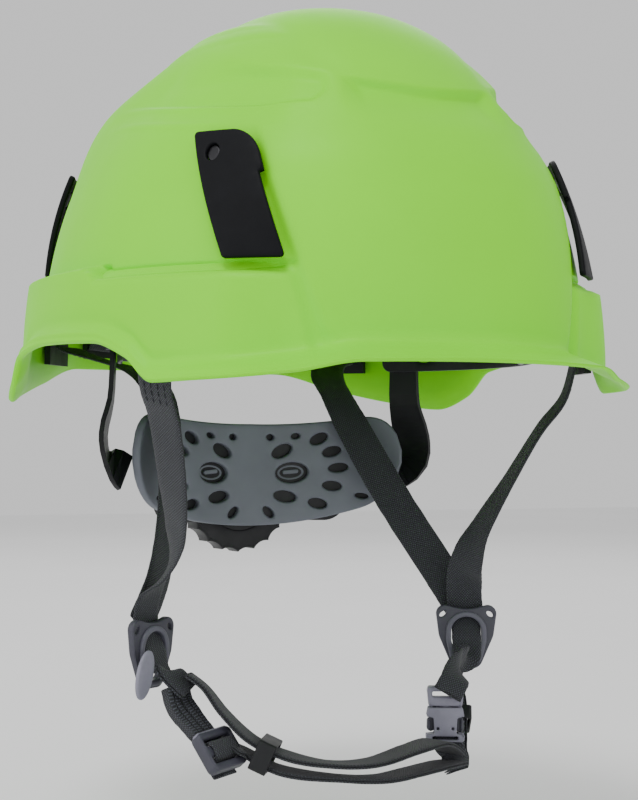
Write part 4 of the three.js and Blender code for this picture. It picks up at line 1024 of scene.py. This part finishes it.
def chin_web_lower():
    return Route([
        ((-51.5, -26.5, -140.5), (0.3, -0.2, 0.9)), beside_keeper(-7.5, -2.6), beside_keeper(7, -3),
        ((-12.4, -41.5, -153.1), (0.1, 0, 1)), ((4.5, -42.5, -154.5), (0, 0, 1)),
        ((20.4, -38.5, -154), (0, 0, 1)), ((38.5, -31, -153.8), (0, 0, 1)),
        ((49, -25, -154.5), (0.1, 0.1, 1)),
    ])


def lock_web():
    """Webbing threaded up through one slot of the ladder lock and down through the other."""
    along, _ = oriented_axes(LOCK_AXIS, LOCK_ACROSS)
    steps = np.gradient(np.array(LOCK_PATH), axis=0)
    return Route([(LOCK + along * x + LOCK_AXIS * z, LOCK_AXIS * run - along * climb)
                  for (x, z), (run, climb) in zip(LOCK_PATH, steps)], 8)


def buckle_wrap():
    """Loop of webbing through the socket's slot that holds the ends of the chin webbing."""
    facing = side_vector(1)
    return Route([
        (BUCKLE + (0.3, 0.2, -8.5), facing), (BUCKLE + (0.6, 0, -12.8), facing),
        ((48.2, -25.2, -150), facing + (0, 0, 0.2)), ((50.6, -23.5, -156), facing + (0.2, 0, -0.3)),
    ])


def strap(name, route, width=WEB_WIDTH, thickness=WEB_THICKNESS, layers=1):
    """Webbing that stands for a CAD node: one strip, or several laid on each other."""
    each = thickness / layers
    strips = []
    for i in range(layers):
        layer = shifted(route, 0, (i - (layers - 1) / 2) * each)
        strips.append(webbing("strip", layer, width - 0.5 * (i % 2), each * 0.9))
    finish_piece(joined(f"{name}_webbing", strips), [name])


def shifted(route, side, level):
    """A copy of a route moved sideways and off its face."""
    moved = copy.copy(route)
    moved.centre = route.centre + route.across * side + route.face * level
    return moved


def edge_on_layers(name, route, count, pitch, depth, thickness):
    """Folded tails lying side by side, of which the edges face outwards."""
    strips = []
    for i in range(count):
        layer = shifted(route, (i - (count - 1) / 2) * pitch, 0.25 * math.sin(i * 2.1))
        layer.face, layer.across = route.across, -route.face
        strips.append(webbing("layer", layer, depth, thickness, ripple=0.05))
    finish_piece(joined(f"{name}_webbing", strips), [name])


def harness():
    for side, where in SIDES:
        route = front_strap(side)
        strap(f"front_strap_{where}", route)
        top = route.length[-1]
        seam(f"front_stitches_{where}", route, FOUR_ROWS, (10, 22))
        seam(f"front_end_stitches_{where}", route, THREE_ROWS, (top - 9, top - 2))
    for side, where in SIDES:
        route = rear_strap(side)
        strap(f"rear_strap_{where}", route)
        seam(f"rear_stitches_{where}", route, THREE_ROWS, (5, 17))
    strap("chin_web_left", chin_web_left(), CHIN_WEB_WIDTH)
    strap("tail_left", tail_left(), 12.0, 1.9, 2)
    strap("chin_fold_right", chin_fold_right(), CHIN_WEB_WIDTH, 2.6, 2)
    finish_piece(webbing("lock_webbing", lock_web(), 12.6, 1.3))
    finish_piece(webbing("buckle_wrap_webbing", buckle_wrap(), 10.4, 1.6))
    edge_on_layers("tail_right", tail_right(), 4, 3.1, 4.2, 2.5)
    strap("chin_web_upper", chin_web_upper(), LOWER_WEB_WIDTH, 2.0, 2)
    strap("chin_web_lower", chin_web_lower(), LOWER_WEB_WIDTH, 2.0, 2)


harness()


# ---- Harness hardware ----

UP, COVER_TILT, COVER_SIZE = (0, 0, 1), 0.3, (9.2, 18.8)
PRONG_CORNERS = (  # x, y and radius of the left prong's leg and of its thumb pad
    ((3.7, 2.3, 0.2), (5.2, 2.3, 0.2), (5.5, -2.0, 0.3), (7.3, -2.7, 0.8), (7.4, -6.8, 0.8), (5.9, -7.9, 0.6),
     (4.2, -7.2, 0.6)),
    ((5.9, -2.9, 0.3), (7.3, -2.9, 0.8), (7.4, -6.9, 0.8), (6.0, -7.7, 0.4)),
)


def arch(grow):
    """Outline of the arched opening, larger by grow."""
    top, foot = 6.3 + grow, 3.6 + grow
    return symmetric([(top, 6.4 + grow, top - 0.3), (top, -3.4, 1.5), (foot, -12.0 - grow, foot - 0.4)], 10)


def side_adjuster(side, where):
    surface = flat_frame(ADJUSTER * (side, 1, 1), (math.cos(TWIST), -side * math.sin(TWIST), 0), UP)
    body = fillet([(-13.4, 12.6, 3.6), (0, 9.2, 20), (13.4, 12.6, 3.6), (11.5, -1.5, 9),
                   (5.6, -15.2, 4.4), (-5.6, -15.2, 4.4), (-11.5, -1.5, 9)], 8)
    slots = [ellipse(x, 7.6, 3.4, 1.9, tilt, 20) for x, tilt in ((-9.9, 40), (9.9, -40))]
    plates(f"adjuster_{where}", surface, [
        ([body, arch(0), *slots], (-1.5, 1.5), GREY, 0.55, 2.4),
        ([arch(2.3), arch(0.05)], (0.6, 2.7), RING, 0.7, 1.6),
    ], [f"side_adjuster_{where}"])


def adjuster_cover():
    """Pale oval plate that closes the right adjuster's lower corner."""
    low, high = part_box("adjuster_cover_right")
    across, up = np.array((math.cos(TWIST), math.sin(TWIST), 0)), np.array(UP)
    c, s = math.cos(COVER_TILT), math.sin(COVER_TILT)
    surface = flat_frame((low + high) / 2 / MM, across * c - up * s, up * c + across * s)
    outline = ellipse(0, 0, *COVER_SIZE, 0, 40)
    piece = plate_piece("adjuster_oval", [outline], surface, (-0.8, 0.8), PALE, 0.7, 2.0)
    finish_piece(piece, ["adjuster_cover_right"])


def sleeve(name, size, wall, axis, up, centre, node, body="helmet"):
    """Short rectangular tube that slides on webbing; its size is width, height and length."""
    x, y, half_length = (value / 2 for value in size)
    outline = symmetric([(x, -y, 1.3), (x, y, 1.3)])
    opening = symmetric([(x - wall, wall - y, 0.5), (x - wall, y - wall, 0.5)])
    surface = flat_frame(centre, *oriented_axes(axis, up))
    piece = plate_piece(name, [outline, opening], surface, (-half_length, half_length), BLACK, 0.4, 2.0)
    finish_piece(piece, [node], body)


def ladder_lock():
    surface = flat_frame(LOCK, *oriented_axes(LOCK_AXIS, LOCK_ACROSS))
    body = symmetric([(8, -9, 2.2), (8, 9, 2.2)])
    slots = [symmetric([(1.3, -7, 0.6), (1.3, 7, 0.6)], middle=x) for x in (-3.6, 3.6)]
    edge = fillet([(-8.4, -8.2, 1), (-6.2, -8.2, 0.8), (-6.2, 8.2, 0.8), (-8.4, 8.2, 1)])
    plates("chin_lock", surface, [
        ([body, *slots], (-2.7, 2.7), GREY, 1.1, 2.4), ([edge], (-1.6, 1.9), PALE, 0.6, 2.0),
    ], ["ladder_lock"])


def buckle():
    """Side release buckle: a hollow socket with open sides, a plug with a web bar, and two prongs."""
    surface = flat_frame(BUCKLE, (math.cos(TWIST), -math.sin(TWIST), 0), UP)
    face = symmetric([(7.6, -11.9, 1.2), (7.7, -8.9, 0.3), (4.4, -8.5, 0.6), (4.8, -2.2, 0.8),
                      (7.6, -1.7, 0.4), (6.9, 1.9, 0.5)], 5)
    slot = symmetric([(5.2, -11.0, 0.5), (5.2, -9.6, 0.5)])
    dimples = [symmetric([(0.5, -7, 0.1), (0.5, -6, 0.1)], 3, x) for x in (-3.0, 3.0)]
    foot = symmetric([(7.4, -11.7, 1), (7.4, -8.8, 0.5)])
    plates("socket", surface, [
        ([face, slot, *dimples], (1.5, 3.2), PALE, 0.45, 2.0), ([face, slot], (-3.2, -1.5), PALE, 0.45, 2.0),
        ([foot, slot], (-1.7, 1.7), PALE, 0.2, 2.0),
    ], ["buckle_socket"])
    head = symmetric([(6.7, 2.3, 0.6), (7.4, 8.6, 1.0), (7.0, 10.3, 1.0)])
    bar = symmetric([(5.3, 6.1, 0.6), (5.3, 8.2, 0.6)])
    tongue = symmetric([(1.7, -5.6, 0.6), (1.7, 2.6, 0.2)])
    plates("plug", surface, [
        ([head, bar], (-2.5, 2.5), PALE, 0.8, 2.0), ([tongue], (-1.0, 1.0), PALE, 0.3, 2.0),
    ], ["buckle_plug"])
    for side, where in SIDES:
        leg, pad = (fillet([(side * x, y, radius) for x, y, radius in corners]) for corners in PRONG_CORNERS)
        plates(f"prong_{where}", surface, [
            ([leg], (-1.1, 1.1), GREY, 0.35, 2.0), ([pad], (-2.5, 2.5), GREY, 0.6, 2.0),
        ], [f"buckle_pinch_{where}"], f"pinch_{where}")


for side_and_name in SIDES:
    side_adjuster(*side_and_name)
adjuster_cover()
sleeve("chin_sleeve", (16.6, 12, 7), 1.1, KEEPER_AXIS, KEEPER_UP, KEEPER, "chin_keeper", "chin_keeper")
sleeve("tail_sleeve", (15, 5.4, 6), 1, TAIL_AXIS, TAIL_UP, TAIL_KEEPER, "tail_keeper_left")
ladder_lock()
buckle()


# ---- Size adjuster behind the nape pad ----

KNOB_LEVEL, RACK_RADIUS, KNOB_RADIUS, KNOB_DEPTH = -50.0, 102.3, 25.0, 12.0
COVER_LEVEL = RACK_RADIUS + 1.4 - NAPE_RADIUS
COVER_HALF_ANGLE, COVER_HALF_HEIGHT, SCREW_ANGLE = 26, 11, 22.5
KNOB_RIBS, KNOB_RIB_DEPTH, KNOB_GAP = 20, 1.5, 2.6


def housing(name, levels, holes=()):
    half = COVER_HALF_ANGLE * NAPE_MM_PER_DEGREE
    low, high = KNOB_LEVEL - COVER_HALF_HEIGHT, KNOB_LEVEL + COVER_HALF_HEIGHT
    outline = symmetric([(half, low, 9.0), (half, high, 9.0)], 10)
    return plate_piece(name, [outline, *holes], nape_surface, levels, BLACK, 0.6, 3.5)


def circle(diameter, count):
    return ellipse(0, 0, diameter, diameter, 0, count)


def knob():
    """Ribbed ring, a sunken face inside it, a dish in the middle and two raised bows."""
    middle = (0, NAPE_AXIS_Y + NAPE_RADIUS + COVER_LEVEL + KNOB_GAP + KNOB_DEPTH / 2, KNOB_LEVEL)
    turn = np.linspace(0, 2 * np.pi, 240, endpoint=False)
    radius = KNOB_RADIUS - KNOB_RIB_DEPTH * np.abs(np.sin(turn * KNOB_RIBS / 2)) ** 0.7
    rim = np.column_stack((radius * np.cos(turn), radius * np.sin(turn)))
    parts = [
        ([rim, circle(30, 60)], (-6, 5.2), BLACK, 1.1, 4.0),
        ([circle(33, 60), circle(14, 32)], (-5.8, 3.4), BLACK, 0.8, 4.0),
        ([circle(15.2, 32)], (-5.8, 0.8), BLACK, 0.4, 4.0),
    ]
    for tilt in (180, 0):
        outer = ellipse(0, 0, 25, 25, tilt, 14, 20, 60)
        inner = ellipse(0, 0, 22.6, 22.6, tilt, 14, 60, 20)
        parts.append(([np.vstack((outer, inner))], (3.0, 4.0), BLACK, 0.2, 3.0))
    surface = flat_frame(middle, (-1, 0, 0), UP)
    plates("size_knob_grip", surface, parts, ["ratchet_knob"], "size_knob")


def size_adjuster():
    holes = [ellipse(0, KNOB_LEVEL, 5.8, 6.2)]
    holes += [ellipse(side * SCREW_ANGLE * NAPE_MM_PER_DEGREE, KNOB_LEVEL, 3.6, 3.6) for side in (-1, 1)]
    carrier = housing("adjuster_carrier", (4.3, 5.8))
    finish_piece(carrier, ["nape_carrier"], "nape_cradle")
    cover = housing("adjuster_housing", (COVER_LEVEL, COVER_LEVEL + 2.2), holes)
    finish_piece(cover, ["ratchet_cover"], "nape_cradle")
    knob()


size_adjuster()


# ---- Cradle ----

CENTRE_CROWN = 118.0
HEADBAND_HALF_WIDTH, HEADBAND_HALF_LENGTH, HEADBAND_LEVEL, HEADBAND_LEVELS = 78.0, 98.0, 16.0, (5.0, 27.0)
HEADBAND_HALF_ANGLE, HEADBAND_MM_PER_DEGREE, BROW_HALF_ANGLE, BROW_MM_PER_DEGREE = 126, 1.54, 61, 1.5
KEY_ANGLES = {"front": 51, "middle": 88, "rear": 157}
CRADLE_RUNS = (  # name, the key where the strap starts on the left and the one where it ends on the right
    ("front_left", "front", "rear"), ("middle", "middle", "middle"), ("rear_left", "rear", "front"),
)
CRADLE_WIDTH, CRADLE_THICKNESS, CRADLE_SPACING = 19, 1.0, 2.6
CLOTH_FRAMES, PAD_PRESSURE, PAD_FILL = 20, 5.0, 0.7


def cradle_route(start, end, crown):
    def rise(degrees):
        s, c = math.sin(degrees * DEGREE), math.cos(degrees * DEGREE)
        return [
            (dome(degrees, 14, -1.6), (s, -c, 0)), (dome(degrees, 40, -8.5), (s, -c, 0.3)),
            (dome(degrees, 76, -15), (s, -c, 0.8)),
            (np.array((28 * s, CENTRE_Y - 30 * c, crown - 1.5)), (0, 0, 1)),
        ]
    return Route([*rise(start), (np.array((0, CENTRE_Y, crown)), (0, 0, 1)), *rise(end)[::-1]])


def cradle():
    for i, (name, start, end) in enumerate(CRADLE_RUNS):
        route = cradle_route(KEY_ANGLES[start], -KEY_ANGLES[end], CENTRE_CROWN + CRADLE_SPACING * i)
        piece = webbing(f"cradle_{name}_webbing", route, CRADLE_WIDTH, CRADLE_THICKNESS, NARROW, 0.08)
        finish_piece(piece, [f"cradle_strap_{name}"])
        length = route.length[-1]
        for end_name, along in (("start", (6, 20)), ("end", (length - 20, length - 6))):
            seam(f"cradle_{name}_{end_name}_stitches", route, (-6, -2, 2, 6), along, -CRADLE_THICKNESS / 2)


def headband_surface(mm_per_degree):
    """Chart round the head's ellipse: x in millimetres from the front, y is height."""
    def surface(x, y, level):
        s, c = np.sin(x / mm_per_degree * DEGREE), np.cos(x / mm_per_degree * DEGREE)
        normal = unit(np.stack((s / HEADBAND_HALF_WIDTH, -c / HEADBAND_HALF_LENGTH, 0 * x), -1))
        place = np.stack((HEADBAND_HALF_WIDTH * s, -HEADBAND_HALF_LENGTH * c, y), -1)
        return place + normal * np.expand_dims(level, -1)
    return surface


def dress(node, piece):
    """Softens a CAD node's edges and gives it its slot's material."""
    piece.data.materials.clear()
    piece.data.materials.append(SLOT_MATERIALS[SLOT_OF[node]])
    add_modifier(piece, "BEVEL", width=0.0004, segments=2, limit_method="ANGLE", angle_limit=35 * DEGREE,
                 harden_normals=True)


def headband():
    """Band with two rows of slots and, over the temples, a row of adjusting holes."""
    scale, low, high = HEADBAND_MM_PER_DEGREE, *HEADBAND_LEVELS
    x, straight = HEADBAND_HALF_ANGLE * scale, 90 * scale
    outline = fillet([(-x, low, 4), (-straight, low, 3), (straight, low, 3),
                      (x, low, 4), (x, high, 4), (-x, high, 4)])
    holes = []
    for side in (1, -1):
        holes += [ellipse(side * (66 + 7 * i) * scale, HEADBAND_LEVEL, 6.4, 3.0) for i in range(5)]
        holes += [ellipse(side * degrees * scale, HEADBAND_LEVEL + rise, 9, 3.2)
                  for degrees in (12, 36, 58, 112) for rise in (-5.5, 5.5)]
    piece = plate_piece("headband_moulding", [outline, *holes], headband_surface(scale), (-1.0, 0.65),
                        BLACK, 0.45, 4.5)
    finish_piece(piece, ["headband"])


def vertex_places(piece):
    return np.array([tuple(v.co) for v in piece.data.vertices])


def blow_up(piece, pinned, cap):
    """Inflates a pad with cloth simulation, moving no point further than cap millimetres."""
    rest = vertex_places(piece)
    group = piece.vertex_groups.new(name="seams")
    group.add([int(i) for i in np.flatnonzero(pinned(rest / MM))], 1.0, "ADD")
    cloth = piece.modifiers.new("Cloth", "CLOTH").settings
    cloth.quality, cloth.mass = 6, 0.2
    cloth.tension_stiffness = cloth.compression_stiffness = 12
    cloth.vertex_group_mass = "seams"
    cloth.use_pressure, cloth.uniform_pressure_force = True, PAD_PRESSURE
    cloth.effector_weights.gravity = 0
    for step in range(1, CLOTH_FRAMES + 1):
        bpy.context.scene.frame_set(step)
    apply_modifiers(piece)
    bpy.context.scene.frame_set(1)
    move = vertex_places(piece) - rest
    length = np.linalg.norm(move, axis=1, keepdims=True)
    held = rest + move * np.minimum(1, cap * MM / np.maximum(length, 1e-9))
    piece.data.vertices.foreach_set("co", held.ravel())
    piece.vertex_groups.clear()


def finish_pad(piece, pinned, cap, node):
    """Soft pad; pinned(points) tells where its seams hold it down."""
    blow_up(piece, pinned, cap)
    add_modifier(piece, "SUBSURF", levels=1, render_levels=1)
    apply_modifiers(piece)
    piece.data.polygons.foreach_set("use_smooth", [True] * len(piece.data.polygons))
    finish_piece(piece, [node])


def brow_pad():
    half = BROW_HALF_ANGLE * BROW_MM_PER_DEGREE
    low, high = HEADBAND_LEVEL - 11.4, HEADBAND_LEVEL + 11.4
    outline = symmetric([(half, low, 7), (half, high, 7)], 9)
    surface = headband_surface(BROW_MM_PER_DEGREE)
    piece = plate_piece("brow_pad_foam", [outline], surface, (-5.9, -2.2), FOAM, 1.7, 2.6)

    def seams(points):
        x, y = points[:, 0] / HEADBAND_HALF_WIDTH, points[:, 1] / HEADBAND_HALF_LENGTH
        degrees = np.degrees(np.arctan2(x, -y))
        channel = np.abs((degrees + 10) % 20 - 10) < 0.9
        edge = (points[:, 2] < low + 1.9) | (points[:, 2] > high - 1.9) | (np.abs(degrees) > 59.6)
        return channel | edge

    finish_pad(piece, seams, 0.9, "brow_pad")


def crown_pad():
    low, high = (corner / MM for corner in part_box("crown_pad"))
    centre = (low + high) / 2
    radius = (high.x - low.x) / 2 - 0.6
    surface = flat_frame(centre, (1, 0, 0), (0, 1, 0))
    piece = plate_piece("crown_pad_foam", [circle(2 * radius, 64)], surface, (-1.7, 1.7), FOAM, 1.5, 2.4)

    def seams(points):
        x, y = points[:, 0] - centre.x, points[:, 1] - centre.y
        cross = np.minimum(np.abs(x + y), np.abs(x - y)) < 1.0
        return cross | (np.hypot(x, y) > radius - 2.2)

    finish_pad(piece, seams, 0.8, "crown_pad")


cradle()
headband()
brow_pad()
crown_pad()
for node_name, cad_piece in frame["nodes"].items():
    if not cad_piece.hide_render:
        dress(node_name, cad_piece)
